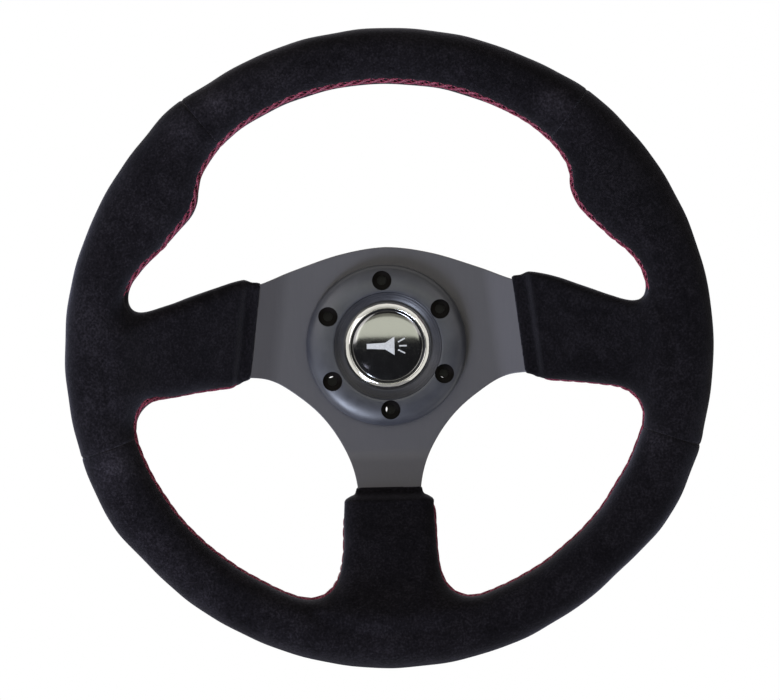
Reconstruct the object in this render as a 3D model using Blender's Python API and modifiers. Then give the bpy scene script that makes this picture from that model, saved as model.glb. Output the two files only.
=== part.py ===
"""A 350 mm three-spoke sports steering wheel with a spring-loaded horn button.

Every shape is made in the wheel's own frame: x to the right, y up and h (local Z) towards the
driver, with h = 0 on the rear face of the hub.  The empty "wheel_frame" stands that frame upright,
so that local h becomes world -Y and local y becomes world +Z.
"""

import math

import bmesh
import bpy
from mathutils import Vector

# ---------------------------------------------------------------- driving dimensions (metres)
GAP = 0.0003  # clearance between touching pieces
CUT_PAST = 0.01  # how far a cutter runs past what it cuts

RIM_OUTER_R = 0.1757
RIM_INNER_R = 0.1438
RIM_HALF_DEPTH = 0.0168
RIM_H = 0.0380  # height of the rim's middle plane
RIM_STEPS = 54
RIM_SECTION_POINTS = 10
RIM_SECTION_POWER = 2.25  # of the section's superellipse; 2 would be an ellipse
THUMB_GRIP_ANGLE = 35.5  # degrees above the horizontal, on both sides
THUMB_GRIP_HEIGHT = 0.0150
THUMB_GRIP_SPREAD = (12.5, 9.3)  # degrees, on the lower and the upper side
SEAM_UPPER_ANGLE = 51.3
SEAM_LOWER_ANGLE = -18.5
SEAM_GAP = 0.0004

COVER_THICKNESS = 0.0012
FOAM_INSET = COVER_THICKNESS + GAP

PLATE_THICKNESS = 0.0040
DISH = 0.0317
BEND_START = 0.060
BEND_END = 0.145
BEND_EASE = 0.004
SIDE_ARM_ANGLE = 7.4  # degrees above the horizontal
FOOT_END_R = 0.1660
HUB_BORE_R = 0.0275
BOLT_CIRCLE_R = 0.0350
BOLT_COUNT = 6
PLATE_HOLE_R = 0.00275
PLATE_HOLE_TURN = -5.6  # degrees from the vertical

RING_INNER_R = 0.1520
RING_H = (0.0360, 0.0400)
RIVET_CIRCLE_R = 0.1590
RIVET_FOOT_ANGLES = (0.0, 180.0, 270.0)  # each foot has two rivets, this far to its sides:
RIVET_HALF_ANGLE = 2.9
RIVET_SHANK_R = 0.0020
RIVET_HEAD_R = 0.0034
RIVET_HEAD_HEIGHT = 0.0012
RIVET_HEAD_TAPER = 0.7

HORN_RING_R = 0.0435
HORN_RING_BORE_R = 0.0294
HORN_RING_STEP_R = 0.0276
HORN_RING_CREST_R = 0.0304
HORN_RING_SEAT_H = 0.0090  # of the step that the button stands in
HORN_RING_EDGE_H = 0.0066
HORN_RING_LIP_H = 0.0133
HORN_RING_LIP_DROP = 0.0004
HORN_RING_TURN = 2.8  # degrees from the vertical: the ring lies out of line with the plate
HORN_RING_HOLE_R = 0.0026
COUNTERBORE_R = 0.0051
COUNTERBORE_FLOOR_H = 0.0073

BODY_R = 0.0272
BODY_BORE_R = 0.0243
BODY_FLANGE_R = 0.0290
BODY_FLANGE_H = (PLATE_THICKNESS + GAP, 0.0066)
BODY_FLOOR_H = (-0.0040, -0.00175)

TURNED_CURVE_STEPS = 4  # of each curved run in a turned profile

BUTTON_TRAVEL = 0.0025
CAP_R = 0.0291
CAP_FLOOR_H = (0.0080, 0.0096)
CAP_COVE = ((0.0236, 0.0100), (0.0286, 0.0131))  # the bezel's hollow slope, from its foot to its rim
CAP_COVE_POWER = 1.8
CAP_UNDERCUT = [(CAP_R, 0.0130), (CAP_R, 0.0122), (0.0272, 0.0117), (0.0265, 0.0095)]
SKIRT_R = (0.0224, 0.0240)
SKIRT_END_H = 0.0030
BOSS_R = (0.0080, 0.0140)
BOSS_END_H = 0.0050
CHROME_RING_R = (0.0203, 0.0235)
CHROME_RING_H = 0.0112  # where its rounded top starts
CHROME_RING_RISE = 0.0012
EMBLEM_THICKNESS = 0.0006
DOME_R = 0.0197
DOME_WALL = 0.0006
DOME_RISE = 0.0018
CONTACT_R = (0.0160, 0.0238)
CONTACT_THICKNESS = 0.0008
CONTACT_LEFT_OPEN = 0.00005  # what is left between the contacts at full travel

SCREW_CIRCLE_R = 0.0110
SCREW_ANGLES = (90.0, 210.0, 330.0)
SCREW_SHANK_R = 0.00125
SCREW_HEAD_R = 0.0025
SCREW_HEAD_HEIGHT = 0.0020
SCREW_TIP_H = 0.0085
SCREW_CHAMFER = 0.0004
SPRING_COIL_R = 0.0026
SPRING_WIRE_R = 0.0003
SPRING_TURNS = 4
SPRING_POINTS_PER_TURN = 8
BLADE_SIZE = (0.0008, 0.0063)
BLADE_X = {"terminal_horn": 0.0200, "terminal_ground": -0.0135}
BLADE_TIP_H = -0.0130
BLADE_IN_FLOOR = 0.0006  # how far the ground blade stands up through the floor

THREAD_R = 0.0004
THREAD_STAND_OFF = 0.0010
THREAD_SECTION_ANGLE = 20.0  # from the rim's innermost point towards the driver
UPPER_THREAD_SPAN = (16.0, 164.0)  # degrees round the rim
LOWER_THREAD_SPAN = (290.0, 343.0)  # on the right; the left mirrors it

# Half outlines of the spoke plate (x, y), right-hand side: its top edge from the middle out to the
# right foot, and its lower edge from that foot round to the lower foot.
PLATE_TOP_EDGE = [
    (0.0, 0.0547), (0.0249, 0.0511), (0.0509, 0.0427), (0.0680, 0.0362),
    (0.0860, 0.0310), (0.1100, 0.0235), (0.1360, 0.0165), (0.1652, 0.0150),
]
PLATE_LOWER_EDGE = [
    (0.1648, -0.0200), (0.1300, -0.0190), (0.0950, -0.0165), (0.0745, -0.0155), (0.0620, -0.0176),
    (0.0484, -0.0257), (0.0369, -0.0356), (0.0276, -0.0478), (0.0203, -0.0624), (0.0170, -0.0775),
    (0.0165, -0.0950), (0.0165, -0.1300), (0.0165, -0.1652),
]

# Stations of the padded covers on the arms: (one edge, other edge, half thickness, lift off the
# plate's middle).  The first two are the thin collar on the bare plate, and the last one ends
# inside the rim.
SIDE_COVER = [
    ((0.0679, 0.0377), (0.0745, -0.0170), 0.0036, 0.0),
    ((0.0748, 0.0380), (0.0795, -0.0180), 0.0036, 0.0),
    ((0.0780, 0.0386), (0.0832, -0.0199), 0.0088, 0.0),
    ((0.0868, 0.0381), (0.0920, -0.0208), 0.0104, 0.0),
    ((0.1065, 0.0310), (0.1080, -0.0229), 0.0115, 0.0),
    ((0.1270, 0.0240), (0.1260, -0.0250), 0.0122, 0.0015),
    ((0.1370, 0.0260), (0.1355, -0.0330), 0.0128, 0.0034),
    ((0.1500, 0.0390), (0.1480, -0.0480), 0.0128, 0.0043),
]
LOWER_COVER = [
    ((0.0186, -0.0770), (-0.0186, -0.0770), 0.0036, 0.0),
    ((0.0190, -0.0830), (-0.0190, -0.0830), 0.0036, 0.0),
    ((0.0248, -0.0864), (-0.0248, -0.0864), 0.0088, 0.0),
    ((0.0256, -0.0950), (-0.0256, -0.0950), 0.0104, 0.0),
    ((0.0258, -0.1120), (-0.0258, -0.1120), 0.0116, 0.0005),
    ((0.0310, -0.1260), (-0.0310, -0.1260), 0.0122, 0.0015),
    ((0.0440, -0.1380), (-0.0440, -0.1380), 0.0128, 0.0034),
    ((0.0540, -0.1480), (-0.0540, -0.1480), 0.0128, 0.0043),
]
FOAM_FIRST_STATION = 2
COVER_SECTION_POINTS = 12
COLLAR_POWER = 30.0  # nearly a rectangle, so that the thin collar clears the plate's corners
PAD_POWER = 3.0
COVER_END_RUN = 0.003  # how far the cover's inner shape runs out past its open end


# ---------------------------------------------------------------- scene helpers
def clear_scene():
    for item in list(bpy.data.objects):
        bpy.data.objects.remove(item, do_unlink=True)


def collection(name, hidden=False):
    made = bpy.data.collections.new(name)
    bpy.context.scene.collection.children.link(made)
    made.hide_render = hidden
    return made


def material(name, colour, roughness, metallic=0.0):
    made = bpy.data.materials.new(name)
    made.use_nodes = True
    shader = made.node_tree.nodes["Principled BSDF"]
    shader.inputs["Base Color"].default_value = (*colour, 1.0)
    shader.inputs["Roughness"].default_value = roughness
    shader.inputs["Metallic"].default_value = metallic
    made.diffuse_color = (*colour, 1.0)
    return made


clear_scene()
PARTS = collection("steering_wheel")
CUTTERS = collection("cutters", hidden=True)

WHEEL_FRAME = bpy.data.objects.new("wheel_frame", None)
WHEEL_FRAME.rotation_euler = (math.pi / 2, 0.0, 0.0)
PARTS.objects.link(WHEEL_FRAME)
HORN_AXIS = bpy.data.objects.new("horn_button_axis", None)
HORN_AXIS.parent = WHEEL_FRAME
PARTS.objects.link(HORN_AXIS)

SUEDE = material("black_suede", (0.018, 0.017, 0.020), 0.95)
FOAM = material("moulded_foam", (0.05, 0.05, 0.05), 0.9)
ANODISED = material("anodised_plate", (0.085, 0.087, 0.098), 0.5, 0.6)
STEEL = material("steel", (0.45, 0.45, 0.46), 0.35, 1.0)
SATIN_BLACK = material("satin_black", (0.055, 0.055, 0.063), 0.45)
CHROME = material("chrome", (0.85, 0.85, 0.86), 0.08, 1.0)
GLOSS_BLACK = material("gloss_black", (0.01, 0.01, 0.012), 0.08)
CLEAR_RESIN = material("clear_resin", (0.03, 0.03, 0.035), 0.03)
BRASS = material("brass", (0.72, 0.52, 0.20), 0.3, 1.0)
RED_THREAD = material("red_thread", (0.45, 0.03, 0.07), 0.7)


def dress(obj, finish, parent):
    """Gives an object its finish, its parent and its place in the parts' collection."""
    obj.parent = parent
    if obj.name not in PARTS.objects:
        PARTS.objects.link(obj)
    obj.data.materials.clear()
    obj.data.materials.append(finish)
    return obj


def as_cutter(obj):
    """A guide solid that only cuts other pieces."""
    obj.parent = WHEEL_FRAME
    CUTTERS.objects.link(obj)
    obj.hide_render = True
    obj.display_type = "WIRE"
    return obj


def object_from(name, bm):
    bmesh.ops.recalc_face_normals(bm, faces=bm.faces)
    mesh = bpy.data.meshes.new(name)
    bm.to_mesh(mesh)
    bm.free()
    return bpy.data.objects.new(name, mesh)


def smooth_shading(obj, angle=40.0):
    obj.data.shade_smooth()
    obj.data.set_sharp_from_angle(angle=math.radians(angle))
    return obj


def evaluated_copy(obj, name):
    """A plain mesh object with the modifiers of another applied; the other is removed."""
    bpy.context.view_layer.update()
    graph = bpy.context.evaluated_depsgraph_get()
    mesh = bpy.data.meshes.new_from_object(obj.evaluated_get(graph))
    bm = bmesh.new()
    bm.from_mesh(mesh)
    bmesh.ops.remove_doubles(bm, verts=bm.verts, dist=1e-6)
    bm.to_mesh(mesh)
    bm.free()
    bpy.data.objects.remove(obj, do_unlink=True)
    mesh.name = name
    return bpy.data.objects.new(name, mesh)


def boolean(obj, cutter, operation="DIFFERENCE"):
    step = obj.modifiers.new(operation.lower(), "BOOLEAN")
    step.operation = operation
    step.solver = "EXACT"
    step.object = cutter
    return obj


# ---------------------------------------------------------------- shape helpers
def turned(name, profile, steps=40):
    """A turned solid from a profile of (radius, h) points that runs down its outer side."""
    bm = bmesh.new()
    points = [bm.verts.new((r, 0.0, h)) for r, h in profile]
    for first, second in zip(points, points[1:]):
        bm.edges.new((first, second))
    if profile[0][0] > 0.0:
        bm.edges.new((points[-1], points[0]))
    mesh = bpy.data.meshes.new(name)
    bm.to_mesh(mesh)
    bm.free()
    obj = bpy.data.objects.new(name, mesh)
    screw = obj.modifiers.new("turn", "SCREW")
    screw.axis = "Z"
    screw.angle = 2 * math.pi
    screw.steps = steps
    screw.render_steps = steps
    screw.use_merge_vertices = True
    screw.merge_threshold = 1e-5
    screw.use_smooth_shade = True
    return obj


def ring_profile(inner_r, outer_r, low_h, high_h):
    return [(outer_r, high_h), (outer_r, low_h), (inner_r, low_h), (inner_r, high_h)]


def cylinder(name, radius, low_h, high_h, centre=(0.0, 0.0), segments=20):
    bm = bmesh.new()
    bmesh.ops.create_cone(
        bm, cap_ends=True, segments=segments, radius1=radius, radius2=radius, depth=high_h - low_h
    )
    obj = object_from(name, bm)
    obj.location = (centre[0], centre[1], (low_h + high_h) / 2)
    return obj


def box(name, size, centre):
    bm = bmesh.new()
    bmesh.ops.create_cube(bm, size=1.0)
    bmesh.ops.scale(bm, vec=size, verts=bm.verts)
    obj = object_from(name, bm)
    obj.location = centre
    return obj


def polar(radius, degrees):
    return (radius * math.cos(math.radians(degrees)), radius * math.sin(math.radians(degrees)))


def smooth_run(points, steps=3):
    """Points along a smooth curve through the given points."""
    ends = [points[0], *points, points[-1]]
    run = []
    for p0, p1, p2, p3 in zip(ends, ends[1:], ends[2:], ends[3:]):
        for i in range(steps):
            t = i / steps
            run.append(tuple(
                0.5 * (2 * b + (c - a) * t + (2 * a - 5 * b + 4 * c - d) * t * t
                       + (3 * b - a - 3 * c + d) * t * t * t)
                for a, b, c, d in zip(p0, p1, p2, p3)
            ))
    return run + [points[-1]]


def flat_solid(name, outline, low_h, high_h):
    """An outline extruded from low_h to high_h, as a closed mesh."""
    curve = bpy.data.curves.new(name, "CURVE")
    curve.dimensions = "2D"
    curve.fill_mode = "BOTH"
    curve.extrude = (high_h - low_h) / 2
    spline = curve.splines.new("POLY")
    spline.points.add(len(outline) - 1)
    for point, (x, y) in zip(spline.points, outline):
        point.co = (x, y, 0.0, 1.0)
    spline.use_cyclic_u = True
    guide = bpy.data.objects.new(name, curve)
    CUTTERS.objects.link(guide)
    solid = evaluated_copy(guide, name)
    bm = bmesh.new()
    bm.from_mesh(solid.data)
    bmesh.ops.remove_doubles(bm, verts=bm.verts, dist=1e-6)
    bmesh.ops.translate(bm, vec=(0.0, 0.0, (low_h + high_h) / 2), verts=bm.verts)
    bmesh.ops.recalc_face_normals(bm, faces=bm.faces)
    bm.to_mesh(solid.data)
    bm.free()
    return solid


def loft(name, rings, closed=False):
    """A skin through rings of equally many points, with its two ends capped unless it closes.

    Every quad is split along the same diagonal, so that skins at different offsets stay apart.
    """
    bm = bmesh.new()
    rows = [[bm.verts.new(point) for point in ring] for ring in rings]
    count = len(rows[0])
    pairs = list(zip(rows, rows[1:] + rows[:1])) if closed else list(zip(rows, rows[1:]))
    for near, far in pairs:
        for i in range(count):
            j = (i + 1) % count
            bm.faces.new((near[i], near[j], far[j]))
            bm.faces.new((near[i], far[j], far[i]))
    if not closed:
        bm.faces.new(rows[0])
        bm.faces.new(reversed(rows[-1]))
    return object_from(name, bm)


def superellipse(count, power):
    """Unit section points (across, along h)."""
    points = []
    for i in range(count):
        angle = 2 * math.pi * (i + 0.5) / count
        c, s = math.cos(angle), math.sin(angle)
        points.append((
            math.copysign(abs(c) ** (2 / power), c), math.copysign(abs(s) ** (2 / power), s)
        ))
    return points


# ---------------------------------------------------------------- the wheel's own formulas
def arm_reach(x, y):
    """Distance of a point from the hub's middle along the arm that it is on."""
    side = abs(x) * math.cos(math.radians(SIDE_ARM_ANGLE)) + y * math.sin(
        math.radians(SIDE_ARM_ANGLE)
    )
    return max(side, -y)


def dish_at(x, y):
    """How far the plate has risen towards the driver at a point."""
    slope = DISH / (BEND_END - BEND_START)
    reach = arm_reach(x, y)
    knots = [
        (BEND_START - BEND_EASE, 0.0),
        (BEND_START, slope * BEND_EASE / 4),
        (BEND_START + BEND_EASE, slope * BEND_EASE),
        (BEND_END - BEND_EASE, DISH - slope * BEND_EASE),
        (BEND_END, DISH - slope * BEND_EASE / 4),
        (BEND_END + BEND_EASE, DISH),
    ]
    if reach <= knots[0][0]:
        return 0.0
    for (near, low), (far, high) in zip(knots, knots[1:]):
        if reach <= far:
            return low + (high - low) * (reach - near) / (far - near)
    return DISH


def rim_inner_r(degrees):
    """Inner radius of the rim, which swells inwards at the two thumb grips."""
    angle = math.degrees(math.asin(math.sin(math.radians(degrees))))
    off = angle - THUMB_GRIP_ANGLE
    spread = THUMB_GRIP_SPREAD[0] if off < 0 else THUMB_GRIP_SPREAD[1]
    return RIM_INNER_R - THUMB_GRIP_HEIGHT * math.exp(-((off / spread) ** 2))


def rim_point(degrees, across, along, grow=0.0):
    """A point of the rim's section: across runs outwards, along runs towards the driver."""
    inner = rim_inner_r(degrees)
    radius = (RIM_OUTER_R + inner) / 2 + across * ((RIM_OUTER_R - inner) / 2 + grow)
    x, y = polar(radius, degrees)
    return (x, y, RIM_H + along * (RIM_HALF_DEPTH + grow))


def rim_tube(name, grow):
    section = superellipse(RIM_SECTION_POINTS, RIM_SECTION_POWER)
    rings = [
        [rim_point(360.0 * i / RIM_STEPS, across, along, grow) for across, along in section]
        for i in range(RIM_STEPS)
    ]
    return loft(name, rings, closed=True)


def cover_rings(stations, grow, run_out, mirror):
    """Sections of an arm's padded cover; run_out carries the first one past the open end."""
    rings = []
    for edge_a, edge_b, half_thickness, lift in stations:
        power = COLLAR_POWER if half_thickness < PLATE_THICKNESS else PAD_POWER
        section = superellipse(COVER_SECTION_POINTS, power)
        a, b = Vector(edge_a), Vector(edge_b)
        middle, half = (a + b) / 2, (a - b) / 2
        half *= (half.length + grow) / half.length
        ring = []
        for across, along in section:
            x, y = middle + half * across
            h = PLATE_THICKNESS / 2 + dish_at(x, y) + lift + along * (half_thickness + grow)
            ring.append(Vector((mirror * x, y, h)))
        rings.append(ring)
    if run_out:
        outward = (rings[0][0] - rings[1][0]).normalized() * run_out
        rings.insert(0, [point + outward for point in rings[0]])
    return rings


def padded_skin(name, grow, run_out=0.0, first=0):
    """The rim's tube joined with the covers of the three arms."""
    skin = rim_tube(name, grow)
    for label, stations, mirror in (
        ("right", SIDE_COVER, 1), ("left", SIDE_COVER, -1), ("lower", LOWER_COVER, 1)
    ):
        arm = as_cutter(loft(f"{name}_{label}", cover_rings(stations[first:], grow, run_out, mirror)))
        boolean(skin, arm, "UNION")
    skin.parent = WHEEL_FRAME
    CUTTERS.objects.link(skin)
    return skin


# ---------------------------------------------------------------- spoke plate, ring and rivets
def offset_outline(outline, distance):
    """The outline moved outwards by a distance."""
    moved = []
    count = len(outline)
    for i, point in enumerate(outline):
        before, after = Vector(outline[i - 1]), Vector(outline[(i + 1) % count])
        along = (after - before).normalized()
        moved.append((point[0] - along.y * distance, point[1] + along.x * distance))
    return moved


def plate_outline():
    """The whole outline, clockwise from the middle of the top edge."""
    top = smooth_run([(-PLATE_TOP_EDGE[1][0], PLATE_TOP_EDGE[1][1]), *PLATE_TOP_EDGE])[3:]
    lower = smooth_run(PLATE_LOWER_EDGE)
    right = top + [polar(FOOT_END_R, 0.0)] + lower
    left = [(-x, y) for x, y in reversed(right[1:])]
    return right + [(0.0, -FOOT_END_R)] + left


def dished_plate(name, grow):
    """The plate's solid, bent towards the driver along its arms."""
    solid = flat_solid(name, offset_outline(plate_outline(), grow), -grow, PLATE_THICKNESS + grow)
    bm = bmesh.new()
    bm.from_mesh(solid.data)
    tilt = math.radians(SIDE_ARM_ANGLE)
    arms = [
        Vector((math.cos(tilt), math.sin(tilt), 0.0)),
        Vector((-math.cos(tilt), math.sin(tilt), 0.0)),
        Vector((0.0, -1.0, 0.0)),
    ]
    bends = [bend + ease for bend in (BEND_START, BEND_END) for ease in (-BEND_EASE, 0.0, BEND_EASE)]
    for arm in arms:
        for reach in bends:
            bmesh.ops.bisect_plane(
                bm, geom=bm.verts[:] + bm.edges[:] + bm.faces[:], dist=1e-7,
                plane_co=arm * reach, plane_no=arm,
            )
    bmesh.ops.triangulate(bm, faces=bm.faces)
    for vert in bm.verts:
        vert.co.z += dish_at(vert.co.x, vert.co.y)
    bm.to_mesh(solid.data)
    bm.free()
    return solid


def rivet_places():
    for middle in RIVET_FOOT_ANGLES:
        for side in (-1, 1):
            yield polar(RIVET_CIRCLE_R, middle + side * RIVET_HALF_ANGLE)


def rivet_heights():
    """Where the rivets' two heads start."""
    return DISH - GAP, RING_H[1] + GAP


def spoke_plate():
    plate = dress(dished_plate("spoke_plate", 0.0), ANODISED, WHEEL_FRAME)
    low, high = -CUT_PAST, PLATE_THICKNESS + CUT_PAST
    boolean(plate, as_cutter(cylinder("cut_hub_bore", HUB_BORE_R, low, high, segments=32)))
    for i in range(BOLT_COUNT):
        place = polar(BOLT_CIRCLE_R, 90.0 + PLATE_HOLE_TURN + 360.0 * i / BOLT_COUNT)
        hole = cylinder(f"cut_plate_bolt_{i + 1}", PLATE_HOLE_R, low, high, place, 12)
        boolean(plate, as_cutter(hole))
    for i, place in enumerate(rivet_places()):
        hole = cylinder(
            f"cut_rivet_{i + 1}", RIVET_SHANK_R + GAP, DISH - CUT_PAST, RING_H[1] + CUT_PAST, place, 10
        )
        boolean(plate, as_cutter(hole))


def rim_ring():
    profile = ring_profile(RING_INNER_R, FOOT_END_R, *RING_H)
    ring = dress(turned("rim_ring", profile, RIM_STEPS), STEEL, WHEEL_FRAME)
    for i in range(6):
        boolean(ring, bpy.data.objects[f"cut_rivet_{i + 1}"])


def spoke_rivets():
    low, high = rivet_heights()
    profile = [
        (0.0, high + RIVET_HEAD_HEIGHT), (RIVET_HEAD_R * RIVET_HEAD_TAPER, high + RIVET_HEAD_HEIGHT),
        (RIVET_HEAD_R, high), (RIVET_SHANK_R, high), (RIVET_SHANK_R, low), (RIVET_HEAD_R, low),
        (RIVET_HEAD_R * RIVET_HEAD_TAPER, low - RIVET_HEAD_HEIGHT), (0.0, low - RIVET_HEAD_HEIGHT),
    ]
    for i, place in enumerate(rivet_places()):
        rivet = dress(turned(f"spoke_rivet_{i + 1}", profile, 10), STEEL, WHEEL_FRAME)
        rivet.location = (*place, 0.0)


# ---------------------------------------------------------------- foam, covers and stitching
def rim_foam():
    skin = padded_skin("rim_foam_skin", -FOAM_INSET, first=FOAM_FIRST_STATION)
    channel = turned("cut_ring_channel", ring_profile(
        RING_INNER_R - GAP, FOOT_END_R + GAP, RING_H[0] - GAP, RING_H[1] + GAP), RIM_STEPS)
    boolean(skin, as_cutter(channel))
    boolean(skin, as_cutter(dished_plate("cut_plate_channel", GAP)))
    low, high = rivet_heights()
    for i, place in enumerate(rivet_places()):
        pocket = cylinder(
            f"cut_rivet_pocket_{i + 1}", RIVET_HEAD_R + GAP, low - RIVET_HEAD_HEIGHT - GAP,
            high + RIVET_HEAD_HEIGHT + GAP, place, 12,
        )
        boolean(skin, as_cutter(pocket))
    foam = dress(evaluated_copy(skin, "rim_foam"), FOAM, WHEEL_FRAME)
    smooth_shading(foam)


def sector(name, start, end):
    """A wedge of the wheel between two seams, reaching past the wheel on every other side."""
    half_gap = math.degrees(SEAM_GAP / 2 / RIVET_CIRCLE_R)
    start, end = start + half_gap, end - half_gap
    steps = max(2, math.ceil((end - start) / 40.0))
    far = [polar(1.5 * RIM_OUTER_R, start + (end - start) * i / steps) for i in range(steps + 1)]
    return flat_solid(name, [(0.0, 0.0), *far], -2 * CUT_PAST, RIM_H + RIM_HALF_DEPTH + 2 * CUT_PAST)


def covers():
    outer = padded_skin("cover_outer", 0.0)
    inner = padded_skin("cover_inner", -COVER_THICKNESS, run_out=COVER_END_RUN)
    boolean(outer, inner)
    shell = evaluated_copy(outer, "cover_shell")
    panels = {
        "cover_upper": (SEAM_UPPER_ANGLE, 180.0 - SEAM_UPPER_ANGLE),
        "cover_left": (180.0 - SEAM_UPPER_ANGLE, 180.0 - SEAM_LOWER_ANGLE),
        "cover_lower": (180.0 - SEAM_LOWER_ANGLE, 360.0 + SEAM_LOWER_ANGLE),
        "cover_right": (SEAM_LOWER_ANGLE, SEAM_UPPER_ANGLE),
    }
    for name, (start, end) in panels.items():
        panel = bpy.data.objects.new(name, shell.data.copy())
        panel.parent = WHEEL_FRAME
        CUTTERS.objects.link(panel)
        boolean(panel, as_cutter(sector(f"wedge_{name}", start, end)), "INTERSECT")
        panel.name = f"whole_{name}"
        smooth_shading(dress(evaluated_copy(panel, name), SUEDE, WHEEL_FRAME))
    bpy.data.objects.remove(shell, do_unlink=True)


def thread(name, points):
    curve = bpy.data.curves.new(name, "CURVE")
    curve.dimensions = "3D"
    curve.bevel_depth = THREAD_R
    curve.bevel_resolution = 0
    curve.use_fill_caps = True
    spline = curve.splines.new("POLY")
    spline.points.add(len(points) - 1)
    for target, point in zip(spline.points, points):
        target.co = (*point, 1.0)
    dress(bpy.data.objects.new(name, curve), RED_THREAD, WHEEL_FRAME)


def rim_thread(start, end):
    """Thread points over the rim's inner edge, at the rim's own sections."""
    step = 360.0 / RIM_STEPS
    inwards, along = polar(1.0, THREAD_SECTION_ANGLE)
    first, last = math.ceil(start / step), math.floor(end / step)
    return [rim_point(i * step, -inwards, along, THREAD_STAND_OFF) for i in range(first, last + 1)]


def cover_thread(stations, side, mirror):
    """Thread points beside one edge of an arm's cover, from its shoulder outwards."""
    points = []
    for station in stations[FOAM_FIRST_STATION:6]:
        edge, other = Vector(station[side]), Vector(station[1 - side])
        x, y = edge + (edge - other).normalized() * THREAD_STAND_OFF
        points.append((mirror * x, y, PLATE_THICKNESS / 2 + dish_at(x, y)))
    return points


def stitching():
    thread("stitching_upper", rim_thread(*UPPER_THREAD_SPAN))
    start, end = LOWER_THREAD_SPAN
    left = cover_thread(SIDE_COVER, 1, -1) + rim_thread(540.0 - end, 540.0 - start)
    thread("stitching_lower_left", left + cover_thread(LOWER_COVER, 1, 1)[::-1])
    right = cover_thread(LOWER_COVER, 0, 1) + rim_thread(start, end)
    thread("stitching_lower_right", right + cover_thread(SIDE_COVER, 1, 1)[::-1])


# ---------------------------------------------------------------- horn ring and button
def horn_ring():
    """The trim ring: a convex dish from its lip down to its thin edge, with counterbored holes."""
    base = PLATE_THICKNESS + GAP
    slope = []
    for i in range(TURNED_CURVE_STEPS + 1):
        turn = i / TURNED_CURVE_STEPS * math.pi / 2
        slope.append((
            HORN_RING_CREST_R + (HORN_RING_R - HORN_RING_CREST_R) * math.sin(turn) ** 0.9,
            HORN_RING_EDGE_H + (HORN_RING_LIP_H - HORN_RING_EDGE_H) * math.cos(turn) ** 1.1,
        ))
    flange_top = BODY_FLANGE_H[1] + GAP
    profile = [
        *slope, (HORN_RING_R, base), (BODY_FLANGE_R + GAP, base), (BODY_FLANGE_R + GAP, flange_top),
        (HORN_RING_STEP_R, flange_top), (HORN_RING_STEP_R, HORN_RING_SEAT_H),
        (HORN_RING_BORE_R, HORN_RING_SEAT_H),
        (HORN_RING_BORE_R, HORN_RING_LIP_H - HORN_RING_LIP_DROP),
    ]
    ring = dress(turned("horn_ring", profile, 40), SATIN_BLACK, WHEEL_FRAME)
    for i in range(BOLT_COUNT):
        place = polar(BOLT_CIRCLE_R, 90.0 + HORN_RING_TURN + 360.0 * i / BOLT_COUNT)
        high = HORN_RING_LIP_H + CUT_PAST
        bore = cylinder(f"cut_counterbore_{i + 1}", COUNTERBORE_R, COUNTERBORE_FLOOR_H, high, place, 12)
        hole = cylinder(f"cut_ring_bolt_{i + 1}", HORN_RING_HOLE_R, 0.0, high, place, 8)
        boolean(ring, as_cutter(bore))
        boolean(ring, as_cutter(hole))


def button_body():
    """The fixed cup that carries the button, clamped by its flange under the horn ring."""
    floor_low, floor_high = BODY_FLOOR_H
    profile = [
        (BODY_BORE_R, BODY_FLANGE_H[1]), (BODY_FLANGE_R, BODY_FLANGE_H[1]),
        (BODY_FLANGE_R, BODY_FLANGE_H[0]), (BODY_R, BODY_FLANGE_H[0]), (BODY_R, floor_low),
        (0.0, floor_low),
    ]
    profile = [(0.0, floor_high), (BODY_BORE_R, floor_high), *profile]
    body = dress(turned("button_body", profile, 32), SATIN_BLACK, WHEEL_FRAME)
    for i, degrees in enumerate(SCREW_ANGLES):
        place = polar(SCREW_CIRCLE_R, degrees)
        hole = cylinder(f"cut_screw_{i + 1}", SCREW_SHANK_R + GAP, -CUT_PAST, 0.0, place, 10)
        boolean(body, as_cutter(hole))
    for name, x in BLADE_X.items():
        size = (BLADE_SIZE[0] + 2 * GAP, BLADE_SIZE[1] + 2 * GAP, CUT_PAST)
        boolean(body, as_cutter(box(f"cut_{name}", size, (x, 0.0, sum(BODY_FLOOR_H) / 2))))


def contacts_and_terminals():
    moving_high = SKIRT_END_H - GAP
    moving_low = moving_high - CONTACT_THICKNESS
    fixed_high = moving_low - BUTTON_TRAVEL - CONTACT_LEFT_OPEN
    fixed_low = fixed_high - CONTACT_THICKNESS
    moving = ring_profile(*CONTACT_R, moving_low, moving_high)
    fixed = ring_profile(*CONTACT_R, fixed_low, fixed_high)
    dress(turned("moving_contact", moving, 32), BRASS, HORN_AXIS)
    dress(turned("fixed_contact", fixed, 32), BRASS, WHEEL_FRAME)
    tops = {"terminal_horn": fixed_low - GAP, "terminal_ground": BODY_FLOOR_H[1] + BLADE_IN_FLOOR}
    for name, x in BLADE_X.items():
        size = (*BLADE_SIZE, tops[name] - BLADE_TIP_H)
        dress(box(name, size, (x, 0.0, (tops[name] + BLADE_TIP_H) / 2)), BRASS, WHEEL_FRAME)


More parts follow.
